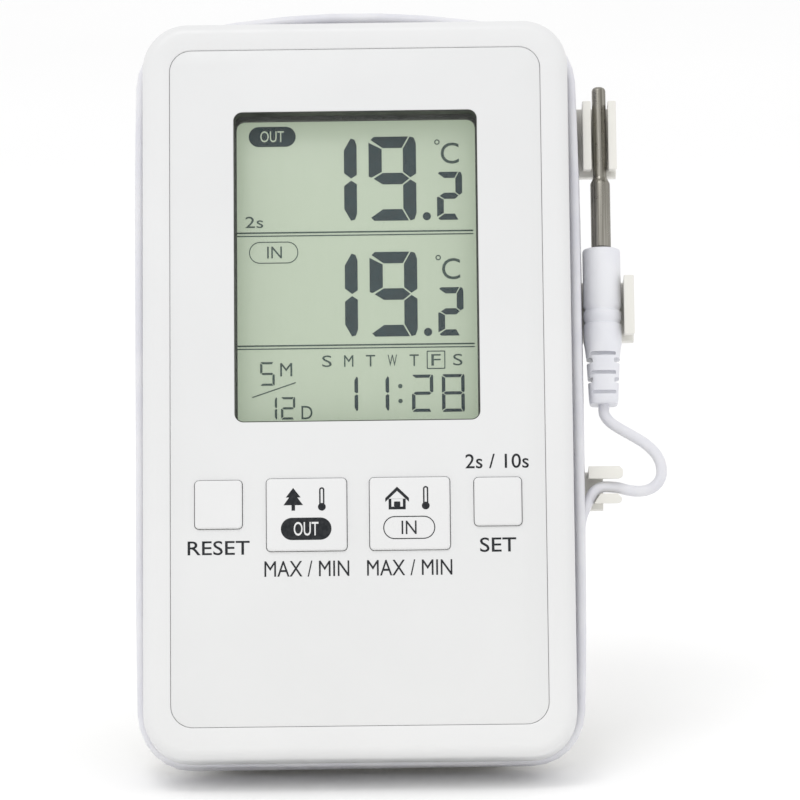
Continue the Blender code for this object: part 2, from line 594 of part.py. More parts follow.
# The cord's free run from the probe's boot, out to the side, between the hook's fingers and into the winding
LEAD_ROUTE = (
    (35.75, 12.0, 52.4), (35.8, 12.0, 51.3), (36.65, 11.9, 50.1), (38.1, 11.7, 49.05), (39.8, 11.5, 48.0),
    (41.6, 11.3, 46.8), (43.1, 11.2, 45.3), (43.85, 11.1, 43.7), (43.9, 11.1, 42.0), (43.25, 11.1, 40.75),
    (42.1, 11.2, 40.0), (40.6, 11.3, 39.75), (39.0, 11.3, 39.95), (37.6, 11.2, 40.3), (36.2, 11.0, 40.4),
    (35.1, 10.7, 40.3), (34.15, 10.5, 39.7), (33.5, 10.4, 38.7),
)


def smooth_route(points, spacing):
    """Points at a near even spacing on a smooth curve through the route."""
    knots = [Vector(point) for point in points]
    fine = []
    for k in range(len(knots) - 1):
        before, here = knots[max(k - 1, 0)], knots[k]
        there, after = knots[k + 1], knots[min(k + 2, len(knots) - 1)]
        for step in range(12):
            t = step / 12
            fine.append(0.5 * (2 * here + (there - before) * t
                               + (2 * before - 5 * here + 4 * there - after) * t ** 2
                               + (3 * here - before - 3 * there + after) * t ** 3))
    fine.append(knots[-1])
    total = sum((b - a).length for a, b in zip(fine, fine[1:]))
    count = round(total / spacing)
    even, walked, target = [fine[0]], 0.0, total / count
    for a, b in zip(fine, fine[1:]):
        walked += (b - a).length
        if walked >= target * len(even) and len(even) < count:
            even.append(b)
    even.append(fine[-1])
    return even


def cord_lead(case):
    points = smooth_route(LEAD_ROUTE, 1.6)
    curve = bpy.data.curves.new("cord_lead", "CURVE")
    curve.dimensions = "3D"
    curve.bevel_depth = CORD_RADIUS * MM
    curve.bevel_resolution = 2
    curve.use_fill_caps = True
    spline = curve.splines.new("POLY")
    spline.points.add(len(points) - 1)
    for knot, point in zip(spline.points, points):
        knot.co = (*(point * MM), 1.0)
    curve.materials.append(LAVENDER)
    lead = bpy.data.objects.new("cord_lead", curve)
    bpy.context.scene.collection.objects.link(lead)
    lead.parent = case


# ---------------------------------------------------------------- assembly

clear_scene()

WHITE = finish_material("white_plastic", (0.86, 0.86, 0.87), 0.35)
PLATE = finish_material("plate_plastic", (0.82, 0.83, 0.84), 0.4)
IVORY = finish_material("ivory_plastic", (0.86, 0.84, 0.76), 0.4)
LAVENDER = finish_material("lavender_plastic", (0.78, 0.78, 0.84), 0.4)
STEEL = finish_material("steel", (0.62, 0.6, 0.56), 0.3, 1.0)
BLACK = finish_material("black_plastic", (0.03, 0.03, 0.03), 0.4)
RUBBER = finish_material("rubber", (0.05, 0.05, 0.05), 0.7)
CLEAR = finish_material("clear_plastic", (0.95, 0.97, 0.96), 0.05)
LCD = finish_material("display_glass", (0.5, 0.56, 0.5), 0.15)
GREEN = finish_material("board", (0.05, 0.22, 0.1), 0.4)
BATTERY = finish_material("battery_jacket", (0.15, 0.2, 0.5), 0.35)

foot_y, foot_z = foot_centre()
CASE = empty("case")
CASE.rotation_euler.x = -LEAN
CASE.location = Matrix.Rotation(-LEAN, 3, "X") @ Vector((0, -foot_y, -foot_z)) * MM

front_cover(CASE)
faceplate(CASE)
rear_cover(CASE)
battery_door(CASE)
case_screws(CASE)
display(CASE)
buttons(CASE)
electronics(CASE)
stand(CASE)
holders(CASE)
probe(CASE)
cord_gland(CASE)
cord_winding(CASE)
cord_lead(CASE)
bpy.context.view_layer.update()
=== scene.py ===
"""Looks of a digital indoor and outdoor maximum minimum thermometer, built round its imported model.

Everything is in metres in the model's own frame. The case leans back on its stand, so its pieces are laid
out in millimetres as if it stood upright, x to the right, y backwards from its face and z up, and turned
into place.
"""
import json
from math import cos, pi, radians, sin, tau

import bmesh
import bpy
import numpy as np
from mathutils import Matrix, Vector


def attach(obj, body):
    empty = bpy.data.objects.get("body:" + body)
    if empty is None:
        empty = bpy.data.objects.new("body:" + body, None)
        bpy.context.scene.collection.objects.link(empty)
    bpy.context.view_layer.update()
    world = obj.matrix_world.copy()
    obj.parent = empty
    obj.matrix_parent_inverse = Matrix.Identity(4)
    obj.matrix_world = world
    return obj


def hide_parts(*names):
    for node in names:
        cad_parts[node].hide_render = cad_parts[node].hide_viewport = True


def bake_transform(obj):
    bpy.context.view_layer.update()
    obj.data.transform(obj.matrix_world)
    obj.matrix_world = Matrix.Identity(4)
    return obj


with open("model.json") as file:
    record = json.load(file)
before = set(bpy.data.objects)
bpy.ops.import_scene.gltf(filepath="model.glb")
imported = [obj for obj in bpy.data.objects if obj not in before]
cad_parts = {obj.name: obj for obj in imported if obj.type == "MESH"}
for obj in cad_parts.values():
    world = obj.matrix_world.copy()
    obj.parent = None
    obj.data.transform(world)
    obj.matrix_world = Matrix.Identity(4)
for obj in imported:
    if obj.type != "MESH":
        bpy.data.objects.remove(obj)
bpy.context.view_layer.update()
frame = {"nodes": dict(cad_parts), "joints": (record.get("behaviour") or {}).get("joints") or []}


# ---------------------------------------------------------------- camera
# The viewer stands in front of the thermometer and looks slightly up at its face. The case's own axes come
# from the battery door, which slides straight up the back, and its corner from the moulded front cover.

MM = 0.001
VIEW_RISE = radians(10.5)      # how far the line of sight rises across the face
VIEW_TURN = -0.0142            # and how far it turns to the left
VIEW_ROLL = -0.0099
VIEW_DISTANCE = 765.0
VIEW_CENTRE = (6.15, 0.0, 51.6)
LENS = 239.2

up = Vector(next(j["axis"] for j in frame["joints"] if j["name"] == "battery_door_slide"))
right = Vector((1, 0, 0))
back = up.cross(right)
cover_points = [v.co for v in frame["nodes"]["front_cover"].data.vertices]
corner = back * min(p.dot(back) for p in cover_points) + up * min(p.dot(up) for p in cover_points)
CASE = Matrix.Translation(corner) @ Matrix((right, back, up)).transposed().to_4x4() @ Matrix.Scale(MM, 4)


def aim_camera():
    ahead = Vector((sin(VIEW_TURN) * cos(VIEW_RISE), cos(VIEW_TURN) * cos(VIEW_RISE), sin(VIEW_RISE)))
    side = ahead.cross(Vector((0, 0, 1))).normalized()
    over = side.cross(ahead)
    across = cos(VIEW_ROLL) * side + sin(VIEW_ROLL) * over
    upward = cos(VIEW_ROLL) * over - sin(VIEW_ROLL) * side
    turn = CASE.to_3x3().normalized()
    axes = Matrix((turn @ across, turn @ upward, -(turn @ ahead))).transposed()
    camera = bpy.data.objects.new("camera", bpy.data.cameras.new("camera"))
    bpy.context.scene.collection.objects.link(camera)
    camera.data.lens = LENS
    camera.data.sensor_width = 36.0
    place = CASE @ (Vector(VIEW_CENTRE) - ahead * VIEW_DISTANCE)
    camera.matrix_world = Matrix.Translation(place) @ axes.to_4x4()
    bpy.context.scene.camera = camera


aim_camera()


# ---------------------------------------------------------------- sensor cord
# Thin round PVC cord, a good 3 m of it. It comes out of a bush in the hub behind the bezel, is wound ten
# times round the groove, slack over the top, and leaves through the hook for a free loop into the boot.

CORD = 1.6                     # diameter
HUB_HALF, HUB_CORNER, HUB_LOW, HUB_HIGH = 27.5, 3.0, 4.5, 103.5
BUSH_Z = 20.0
TURNS = (                      # depth of the cord's middle over the hub, and its place across the groove
    (0.95, 13.2), (0.95, 11.5), (0.95, 9.8), (0.95, 8.2), (2.45, 9.0),
    (2.45, 10.7), (2.45, 12.4), (3.9, 13.1), (3.9, 11.3), (3.9, 8.7), (3.9, 10.2),
)
LAYERS = 4.0                   # depth at which the slack is full
SLACK_TOP, SLACK_LEFT, SLACK_RIGHT, SLACK_REACH = 3.1, 0.4, 0.55, 48.0
STRAIGHT_STEP, CORNER_STEPS = 7.0, 6
MERGE = 0.16                   # share of a turn in which it moves over to the next place
LEAVE_Z = 31.0                 # where the last turn leaves for the hook
BUSH_ROUTE = ((27.2, 12.6, 19.6), (27.65, 12.75, 20.6), (28.05, 12.95, 21.9))
LOOP_ROUTE = ((31.95, 10.4, 33.2), (32.0, 10.35, 34.6), (32.25, 10.3, 35.9), (32.8, 10.35, 37.3),
              (33.5, 10.4, 38.7), (34.15, 10.5, 39.7), (35.1, 10.7, 40.3), (36.2, 11.0, 40.4),
              (37.6, 11.2, 40.3), (39.0, 11.3, 39.95), (40.6, 11.3, 39.75), (42.1, 11.2, 40.0),
              (43.25, 11.1, 40.75), (43.9, 11.1, 42.0), (43.85, 11.1, 43.7), (43.1, 11.2, 45.3),
              (41.6, 11.3, 46.8), (39.8, 11.5, 48.0), (38.1, 11.7, 49.05), (36.65, 11.9, 50.1),
              (35.8, 12.0, 51.3), (35.75, 12.0, 52.4), (35.75, 12.0, 53.6))

corner_run = HUB_CORNER * pi / 2
flat, high, low = HUB_HALF - HUB_CORNER, HUB_HIGH - HUB_CORNER, HUB_LOW + HUB_CORNER
RUNS = (high - BUSH_Z, corner_run, 2 * flat, corner_run, high - low, corner_run, 2 * flat, corner_run,
        BUSH_Z - low)


def round_hub(walked, depth):
    """Place over the hub at a distance walked round it, counted up the right side from the bush."""
    leg = 0
    while walked > RUNS[leg] and leg < len(RUNS) - 1:
        walked -= RUNS[leg]
        leg += 1
    far = HUB_HALF + depth
    spin = pi / 2 * walked / corner_run
    reach = HUB_CORNER + depth
    x, z = (
        (far, BUSH_Z + walked),
        (flat + reach * cos(spin), high + reach * sin(spin)),
        (flat - walked, HUB_HIGH + depth),
        (-flat - reach * sin(spin), high + reach * cos(spin)),
        (-far, high - walked),
        (-flat - reach * cos(spin), low - reach * sin(spin)),
        (-flat + walked, HUB_LOW - depth),
        (flat + reach * sin(spin), low - reach * cos(spin)),
        (far, low + walked),
    )[leg]
    loose = depth / LAYERS
    middle = (HUB_LOW + HUB_HIGH) / 2
    beside = min(1.0, max(0.0, abs(x) - flat) / HUB_CORNER)
    swell = loose * max(0.0, 1 - ((z - middle) / SLACK_REACH) ** 4) * beside
    if z > middle:
        z += SLACK_TOP * loose * max(0.0, 1 - (x / HUB_HALF) ** 2)
    x += SLACK_RIGHT * swell if x > 0 else -SLACK_LEFT * swell
    return x, z


def wound_route():
    """Middle of the wound cord, turn after turn, each a little uneven as a hand winds it."""
    stops = []
    for leg, run in enumerate(RUNS):
        steps = CORNER_STEPS if leg % 2 else max(2, round(run / STRAIGHT_STEP))
        stops += [sum(RUNS[:leg]) + run * n / steps for n in range(steps)]
    round_once = sum(RUNS)
    route = [Vector(p) for p in BUSH_ROUTE]
    for turn, (depth, across) in enumerate(TURNS):
        last = turn == len(TURNS) - 1
        next_depth, next_across = TURNS[min(turn + 1, len(TURNS) - 1)]
        for stop in stops[1:] if turn == 0 else stops:
            if last and BUSH_Z + stop > LEAVE_Z:
                break
            share = stop / round_once
            over = min(1.0, max(0.0, (share - 1 + MERGE) / MERGE))
            over = over * over * (3 - 2 * over)
            ends = min(1.0, share * 8, (1 - share) * 8)
            sway = 0.1 * ends * sin(tau * 2 * share + turn * 1.7)
            drift = 0.16 * ends * sin(tau * 3 * share + turn * 2.3)
            x, z = round_hub(stop, depth + (next_depth - depth) * over + sway)
            route.append(Vector((x, across + (next_across - across) * over + drift, z)))
    return route


def smooth(points, spacing):
    """Even points on a smooth curve through a route."""
    knots = [Vector(p) for p in points]
    fine = []
    for k in range(len(knots) - 1):
        a, b, c, d = (knots[min(max(k + n, 0), len(knots) - 1)] for n in (-1, 0, 1, 2))
        for step in range(16):
            t = step / 16
            fine.append(0.5 * (2 * b + (c - a) * t + (2 * a - 5 * b + 4 * c - d) * t ** 2
                               + (3 * b - a - 3 * c + d) * t ** 3))
    fine.append(knots[-1])
    walked = np.cumsum([0.0] + [(b - a).length for a, b in zip(fine, fine[1:])])
    stops = np.linspace(0, walked[-1], max(4, round(walked[-1] / spacing) + 1))
    return [Vector([np.interp(s, walked, [p[i] for p in fine]) for i in range(3)]) for s in stops]


def to_piece(name, build, smooth_angle=40):
    """Turns a bmesh laid out in the case's millimetres into a mesh object in place."""
    bmesh.ops.recalc_face_normals(build, faces=build.faces)
    build.transform(CASE)
    mesh = bpy.data.meshes.new(name)
    build.to_mesh(mesh)
    build.free()
    mesh.shade_smooth()
    mesh.set_sharp_from_angle(angle=radians(smooth_angle))
    piece = bpy.data.objects.new(name, mesh)
    bpy.context.scene.collection.objects.link(piece)
    return piece


def tube(name, points, radius, sides=12):
    """A round tube with flat ends along a line of points."""
    build = bmesh.new()
    rings = []
    normal = None
    for k, point in enumerate(points):
        ahead = (points[min(k + 1, len(points) - 1)] - points[max(k - 1, 0)]).normalized()
        if normal is None:
            normal = ahead.orthogonal().normalized()
        normal = (normal - ahead * normal.dot(ahead)).normalized()
        side = ahead.cross(normal)
        turns = [tau * n / sides for n in range(sides)]
        rings.append([build.verts.new(point + radius * (cos(a) * normal + sin(a) * side)) for a in turns])
    for first, second in zip(rings, rings[1:]):
        for n in range(sides):
            m = (n + 1) % sides
            build.faces.new((first[n], first[m], second[m], second[n]))
    build.faces.new(rings[0])
    build.faces.new(rings[-1])
    return to_piece(name, build, 60)


def shade(name, colour, rough, metal=0.0):
    """A new material with its even colour, roughness and metal set on the shader itself."""
    material = bpy.data.materials.new(name)
    material.use_nodes = True
    shader = material.node_tree.nodes["Principled BSDF"]
    shader.inputs["Base Color"].default_value = (*colour, 1)
    shader.inputs["Roughness"].default_value = rough
    shader.inputs["Metallic"].default_value = metal
    return material, material.node_tree, shader


def mottle(tree, shader, colour, other, scale, detail=3.0, low=0.4, high=0.6):
    """Lets the colour drift between two tones over the surface."""
    place = tree.nodes.new("ShaderNodeTexCoord")
    noise = tree.nodes.new("ShaderNodeTexNoise")
    noise.inputs["Scale"].default_value = scale
    noise.inputs["Detail"].default_value = detail
    ramp = tree.nodes.new("ShaderNodeValToRGB")
    ramp.color_ramp.elements[0].position = low
    ramp.color_ramp.elements[0].color = (*colour, 1)
    ramp.color_ramp.elements[1].position = high
    ramp.color_ramp.elements[1].color = (*other, 1)
    tree.links.new(place.outputs["Object"], noise.inputs["Vector"])
    tree.links.new(noise.outputs["Fac"], ramp.inputs["Fac"])
    tree.links.new(ramp.outputs["Color"], shader.inputs["Base Color"])
    return place


def vary_roughness(tree, shader, place, scale, low, high):
    noise = tree.nodes.new("ShaderNodeTexNoise")
    noise.inputs["Scale"].default_value = scale
    noise.inputs["Detail"].default_value = 4.0
    spread = tree.nodes.new("ShaderNodeMapRange")
    spread.inputs["From Min"].default_value = 0.3
    spread.inputs["From Max"].default_value = 0.7
    spread.inputs["To Min"].default_value = low
    spread.inputs["To Max"].default_value = high
    tree.links.new(place.outputs["Object"], noise.inputs["Vector"])
    tree.links.new(noise.outputs["Fac"], spread.inputs["Value"])
    tree.links.new(spread.outputs["Result"], shader.inputs["Roughness"])


def grain(tree, shader, place, scale, strength, distance):
    """Fine relief over the surface."""
    noise = tree.nodes.new("ShaderNodeTexNoise")
    noise.inputs["Scale"].default_value = scale
    noise.inputs["Detail"].default_value = 2.0
    bump = tree.nodes.new("ShaderNodeBump")
    bump.inputs["Strength"].default_value = strength
    bump.inputs["Distance"].default_value = distance
    tree.links.new(place.outputs["Object"], noise.inputs["Vector"])
    tree.links.new(noise.outputs["Fac"], bump.inputs["Height"])
    tree.links.new(bump.outputs["Normal"], shader.inputs["Normal"])


def pvc_jacket():
    """Soft lavender white PVC, faintly blotched by handling."""
    material, tree, shader = shade("cord_jacket", (0.70, 0.70, 0.74), 0.42)
    place = mottle(tree, shader, (0.69, 0.69, 0.735), (0.74, 0.74, 0.77), 160)
    vary_roughness(tree, shader, place, 700, 0.36, 0.5)
    grain(tree, shader, place, 5200, 0.25, 0.00002)
    shader.inputs["Subsurface Weight"].default_value = 0.08
    shader.inputs["Subsurface Radius"].default_value = (0.0008, 0.0007, 0.0006)
    return material


JACKET = pvc_jacket()

wound = wound_route()
wound.append(Vector(LOOP_ROUTE[0]))
loop = smooth(LOOP_ROUTE, 0.45)
wound_cord = tube("sensor_cord_wound", wound, CORD / 2)
loop_cord = tube("sensor_cord_loop", loop, CORD / 2, 16)
for piece, node, line, lay in ((wound_cord, "cord_winding", wound, "coiled"),
                               (loop_cord, "cord_lead", loop, "loose")):
    piece.data.materials.append(JACKET)
    path = [CASE @ p for p in line]
    length = sum((b - a).length for a, b in zip(path, path[1:]))
    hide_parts(node)
    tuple(path[0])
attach(wound_cord, "housing")
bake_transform(loop_cord)


# ---------------------------------------------------------------- back
# The back is one ivory ABS moulding with a spark-eroded face: the hub that takes the cord, a flange, the
# stand's recess, a keyhole and the battery bay. A rubber bush lines the hole where the cord comes out.

IVORY_TONE, IVORY_OTHER = (0.77, 0.758, 0.71), (0.795, 0.782, 0.735)
EDGE = 0.3                     # rounding of the moulding's edges
BUSH_X, BUSH_Y = 24.7, 12.6


def taken(node):
    """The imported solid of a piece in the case's millimetres, without the seams across its flat faces."""
    build = bmesh.new()
    build.from_mesh(frame["nodes"][node].data)
    build.transform(CASE.inverted())
    bmesh.ops.remove_doubles(build, verts=build.verts, dist=0.004)
    bmesh.ops.dissolve_limit(build, angle_limit=radians(0.8), verts=build.verts, edges=build.edges)
    return build


def soften(build, width, segments=2, turn=30, keep=None):
    """Rounds the edges that turn by more than an angle, all of them or those that keep() picks."""
    edges = [e for e in build.edges if len(e.link_faces) == 2 and e.calc_face_angle() > radians(turn)
             and (keep is None or keep((e.verts[0].co + e.verts[1].co) / 2))]
    bmesh.ops.bevel(build, geom=edges, offset=width, offset_type="OFFSET", segments=segments, profile=0.5,
                    affect="EDGES", clamp_overlap=True, loop_slide=True)
    return build


def cut(build, tool, operation="DIFFERENCE"):
    """Cuts one solid out of another, or joins the two, and returns the result."""
    pair = []
    for solid in (build, tool):
        bmesh.ops.recalc_face_normals(solid, faces=solid.faces)
        mesh = bpy.data.meshes.new("solid")
        solid.to_mesh(mesh)
        solid.free()
        pair.append(bpy.data.objects.new("solid", mesh))
        bpy.context.scene.collection.objects.link(pair[-1])
    step = pair[0].modifiers.new("step", "BOOLEAN")
    step.operation = operation
    step.solver = "EXACT"
    step.object = pair[1]
    stepped = pair[0].evaluated_get(bpy.context.evaluated_depsgraph_get())
    whole = bpy.data.meshes.new_from_object(stepped)
    result = bmesh.new()
    result.from_mesh(whole)
    bpy.data.meshes.remove(whole)
    for thing in pair:
        bpy.data.objects.remove(thing, do_unlink=True)
    return result


def block(low, high):
    """A box between two corners."""
    build = bmesh.new()
    size = Vector(high) - Vector(low)
    bmesh.ops.create_cube(build, size=1.0, matrix=Matrix.Translation((Vector(low) + Vector(high)) / 2)
                          @ Matrix.Diagonal((*size, 1.0)))
    return build


def moulding(name, colour, other, rough, pores=0.12):
    """Moulded ABS: a faint drift of tone, uneven gloss and the fine pebble of the mould's face."""
    material, tree, shader = shade(name, colour, rough)
    place = mottle(tree, shader, colour, other, 45)
    vary_roughness(tree, shader, place, 320, rough - 0.06, rough + 0.08)
    grain(tree, shader, place, 4200, pores, 0.00002)
    return material


def fit(piece, material, body, slot, *nodes):
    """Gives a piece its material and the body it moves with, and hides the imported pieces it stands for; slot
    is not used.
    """
    piece.data.materials.append(material)
    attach(piece, body)
    if nodes:
        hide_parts(*nodes)


def recoat(node, material):
    """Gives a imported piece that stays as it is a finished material."""
    slots = frame["nodes"][node].material_slots
    for slot in slots:
        slot.material = material
    if not slots:
        frame["nodes"][node].data.materials.append(material)


IVORY = moulding("ivory_abs", IVORY_TONE, IVORY_OTHER, 0.42, 0.3)
back_shell = soften(taken("rear_cover"), EDGE)
fit(to_piece("back_moulding", back_shell), IVORY, "housing", "ivory_back", "rear_cover")


def turned(profile, axis, place, segments=32, ring=False):
    """A turned solid, or a ring, from (radius, distance along) pairs on an axis through a place."""
    spins = {"X": Matrix.Rotation(pi / 2, 4, "Y"), "Y": Matrix.Rotation(-pi / 2, 4, "X"), "Z": Matrix()}
    build = bmesh.new()
    rings = []
    for radius, along in profile:
        count = segments if radius else 1
        turns = [tau * k / segments for k in range(count)]
        rings.append([build.verts.new((radius * cos(a), radius * sin(a), along)) for a in turns])
    for end in (rings[0], rings[-1]):
        if len(end) > 1 and not ring:
            build.faces.new(end)
    for first, second in zip(rings, rings[1:] + rings[:1] * ring):
        for k in range(segments):
            n = (k + 1) % segments
            corners = [first[k % len(first)], first[n % len(first)], second[n % len(second)],
                       second[k % len(second)]]
            build.faces.new(list(dict.fromkeys(corners)))
    bmesh.ops.transform(build, matrix=Matrix.Translation(place) @ spins[axis], verts=build.verts)
    return build


def rubber():
    """Dull black synthetic rubber with a fine bloom."""
    material, tree, shader = shade("black_rubber", (0.03, 0.03, 0.032), 0.7)
    place = mottle(tree, shader, (0.022, 0.022, 0.024), (0.05, 0.05, 0.052), 500)
    vary_roughness(tree, shader, place, 900, 0.6, 0.82)
    grain(tree, shader, place, 6000, 0.35, 0.00002)
    return material


RUBBER = rubber()
bush = turned([(1.0, 0.0), (2.5, 0.0), (2.6, 0.1), (2.6, 0.8), (2.5, 0.9), (1.7, 0.9), (1.7, 2.5),
               (1.5, 2.75), (1.15, 2.75), (1.0, 2.6)], "X", (BUSH_X, BUSH_Y, BUSH_Z), ring=True)
fit(to_piece("cord_bush", bush), RUBBER, "housing", "soft_rubber", "cord_gland")


# ---------------------------------------------------------------- electronics
# A glass-epoxy board stands across the hub, with the chip under its resin blob, the clock crystal, a bead
# thermistor for the room and four tact switches. One AAA cell lies in the bay between a spring and a tab.

BOARD_GREEN, BOARD_TRACK = (0.012, 0.085, 0.03), (0.035, 0.17, 0.06)
TRACKS = 260.0                 # copper tracks to the metre
CELL_SLEEVE, CELL_BAND = (0.02, 0.05, 0.2), (0.55, 0.55, 0.52)
KEYS = ("reset", "out", "in", "set")


def laminate():
    """Green solder mask over copper tracks, which show through as a lighter green relief."""
    material, tree, shader = shade("green_laminate", BOARD_GREEN, 0.3)
    place = tree.nodes.new("ShaderNodeTexCoord")
    wave = tree.nodes.new("ShaderNodeTexWave")
    wave.bands_direction = "DIAGONAL"
    wave.inputs["Scale"].default_value = TRACKS
    wave.inputs["Distortion"].default_value = 6.0
    ramp = tree.nodes.new("ShaderNodeValToRGB")
    ramp.color_ramp.elements[0].position = 0.45
    ramp.color_ramp.elements[0].color = (*BOARD_GREEN, 1)
    ramp.color_ramp.elements[1].position = 0.55
    ramp.color_ramp.elements[1].color = (*BOARD_TRACK, 1)
    bump = tree.nodes.new("ShaderNodeBump")
    bump.inputs["Strength"].default_value = 0.4
    bump.inputs["Distance"].default_value = 0.00004
    tree.links.new(place.outputs["Object"], wave.inputs["Vector"])
    tree.links.new(wave.outputs["Fac"], ramp.inputs["Fac"])
    tree.links.new(ramp.outputs["Color"], shader.inputs["Base Color"])
    tree.links.new(ramp.outputs["Color"], bump.inputs["Height"])
    tree.links.new(bump.outputs["Normal"], shader.inputs["Normal"])
    return material


def plated(name, colour, other, rough):
    """Plated steel, its shine broken by fine handling marks."""
    material, tree, shader = shade(name, colour, rough, 1.0)
    place = mottle(tree, shader, colour, other, 600)
    vary_roughness(tree, shader, place, 1500, rough - 0.08, rough + 0.14)
    grain(tree, shader, place, 3500, 0.15, 0.00002)
    return material


def black_abs():
    """Black ABS, lifted to a dark grey where light grazes its mould texture."""
    material, tree, shader = shade("black_abs", (0.03, 0.033, 0.028), 0.5)
    place = mottle(tree, shader, (0.024, 0.027, 0.022), (0.038, 0.041, 0.035), 400)
    vary_roughness(tree, shader, place, 700, 0.44, 0.6)
    grain(tree, shader, place, 5000, 0.25, 0.00002)
    return material


def sleeve():
    """The cell's printed sleeve: dark blue with one light band towards its cap."""
    material, tree, shader = shade("cell_sleeve", CELL_SLEEVE, 0.3)
    place = tree.nodes.new("ShaderNodeTexCoord")
    split = tree.nodes.new("ShaderNodeSeparateXYZ")
    ramp = tree.nodes.new("ShaderNodeValToRGB")
    ramp.color_ramp.interpolation = "CONSTANT"
    ramp.color_ramp.elements[0].color = (*CELL_SLEEVE, 1)
    ramp.color_ramp.elements[1].position = 0.62
    ramp.color_ramp.elements[1].color = (*CELL_BAND, 1)
    share = tree.nodes.new("ShaderNodeMapRange")
    share.inputs["From Min"].default_value = -0.0222
    share.inputs["From Max"].default_value = 0.0222
    tree.links.new(place.outputs["Object"], split.inputs["Vector"])
    tree.links.new(split.outputs["X"], share.inputs["Value"])
    tree.links.new(share.outputs["Result"], ramp.inputs["Fac"])
    tree.links.new(ramp.outputs["Color"], shader.inputs["Base Color"])
    vary_roughness(tree, shader, place, 800, 0.24, 0.4)
    grain(tree, shader, place, 1200, 0.1, 0.00003)
    return material


STEEL = plated("plated_steel", (0.56, 0.55, 0.53), (0.66, 0.65, 0.63), 0.3)
BLACK = black_abs()
recoat("circuit_board", laminate())
for node in ["chip_blob", "indoor_thermistor"] + [f"{key}_switch_plunger" for key in KEYS]:
    recoat(node, BLACK)
for node in ["crystal", "battery_spring", "battery_contact"] + [f"{key}_switch_body" for key in KEYS]:
    recoat(node, STEEL)
recoat("battery", sleeve())


# ---------------------------------------------------------------- display
# A reflective liquid crystal cell, grey green, in a black carrier behind the cover, joined to the board by a
# rubber strip. Its dark segments show two temperatures, the date, the weekday and the time.

CELL_HALF, CELL_LOW, CELL_HIGH, CELL_FRONT, CELL_BACK = 18.6, 47.2, 95.4, 4.65, 6.35
CELL_GROUND, CELL_OTHER = (0.18, 0.208, 0.158), (0.195, 0.22, 0.172)
# Painted light: the display cell gives off this colour evenly though it holds no lamp, lifting the shade its
# deep recess casts on it.
CELL_PAINTED_LIGHT, PAINTED_LIGHT_STRENGTH = (0.47, 0.56, 0.42), 0.58
DARK_MARK, THIN_MARK = (0.008, 0.024, 0.028), (0.03, 0.055, 0.045)
MARK_FRONT, MARK_DEPTH = 4.56, 0.05
LIT = {"1": "bc", "2": "abged", "5": "afgcd", "8": "abcdefg", "9": "abcdfg"}
ROW_SHIFT = 17.2               # the lower temperature stands this far below the upper one
DAYS = "SMTWTFS"
DAY_FIRST, DAY_LAST, DAY_Z, TODAY = -4.46, 14.53, 58.3, 5


def rounded(width, bottom, top, corner, steps=10, centre=0.0):
    """A rectangle with round corners, as (x, z) points."""
    points = []
    for quarter, (side, end) in enumerate(((1, 1), (-1, 1), (-1, -1), (1, -1))):
        x = centre + side * (width / 2 - corner)
        z = (top if end > 0 else bottom) - end * corner
        for step in range(steps + 1):
            angle = (quarter + step / steps) * pi / 2
            points.append((x + corner * cos(angle), z + corner * sin(angle)))
    return points


def loft(sections, closed=False):
    """Joins outlines of equal point counts, given as (y, outline); closed makes a ring with no ends."""
    build = bmesh.new()
    rings = [[build.verts.new((x, y, z)) for x, z in outline] for y, outline in sections]
    pairs = list(zip(rings, rings[1:]))
    if closed:
        pairs.append((rings[-1], rings[0]))
    else:
        build.faces.new(rings[0])
        build.faces.new(rings[-1])
    for first, second in pairs:
        for k in range(len(first)):
            n = (k + 1) % len(first)
            build.faces.new((first[k], first[n], second[n], second[k]))
    return build


def mark(outline, front=MARK_FRONT, depth=MARK_DEPTH):
    return loft([(front, outline), (front + depth, outline)])


def ring_mark(outer, inner, front=MARK_FRONT, depth=MARK_DEPTH):
    return loft([(front, outer), (front + depth, outer), (front + depth, inner), (front, inner)], closed=True)


def joined(parts):
    """Gathers loose solids into one bmesh."""
    whole = bmesh.new()
    for part in parts:
        mesh = bpy.data.meshes.new("part")
        bmesh.ops.recalc_face_normals(part, faces=part.faces)
        part.to_mesh(mesh)
        part.free()
        whole.from_mesh(mesh)
        bpy.data.meshes.remove(mesh)
    return whole


def shrunk(outline, by):
    """A convex outline with every side moved inwards."""
    area = sum(a[0] * b[1] - b[0] * a[1] for a, b in zip(outline, outline[1:] + outline[:1]))
    way = 1 if area > 0 else -1
    lines = []
    for a, b in zip(outline, outline[1:] + outline[:1]):
        run = Vector((b[0] - a[0], b[1] - a[1])).normalized()
        inwards = Vector((-run.y, run.x)) * way
        lines.append((Vector(a) + inwards * by, run))
    points = []
    for (p, r), (q, s) in zip(lines[-1:] + lines[:-1], lines):
        turn = r.x * s.y - r.y * s.x
        step = ((q.x - p.x) * s.y - (q.y - p.y) * s.x) / turn
        points.append((p.x + r.x * step, p.y + r.y * step))
    return points


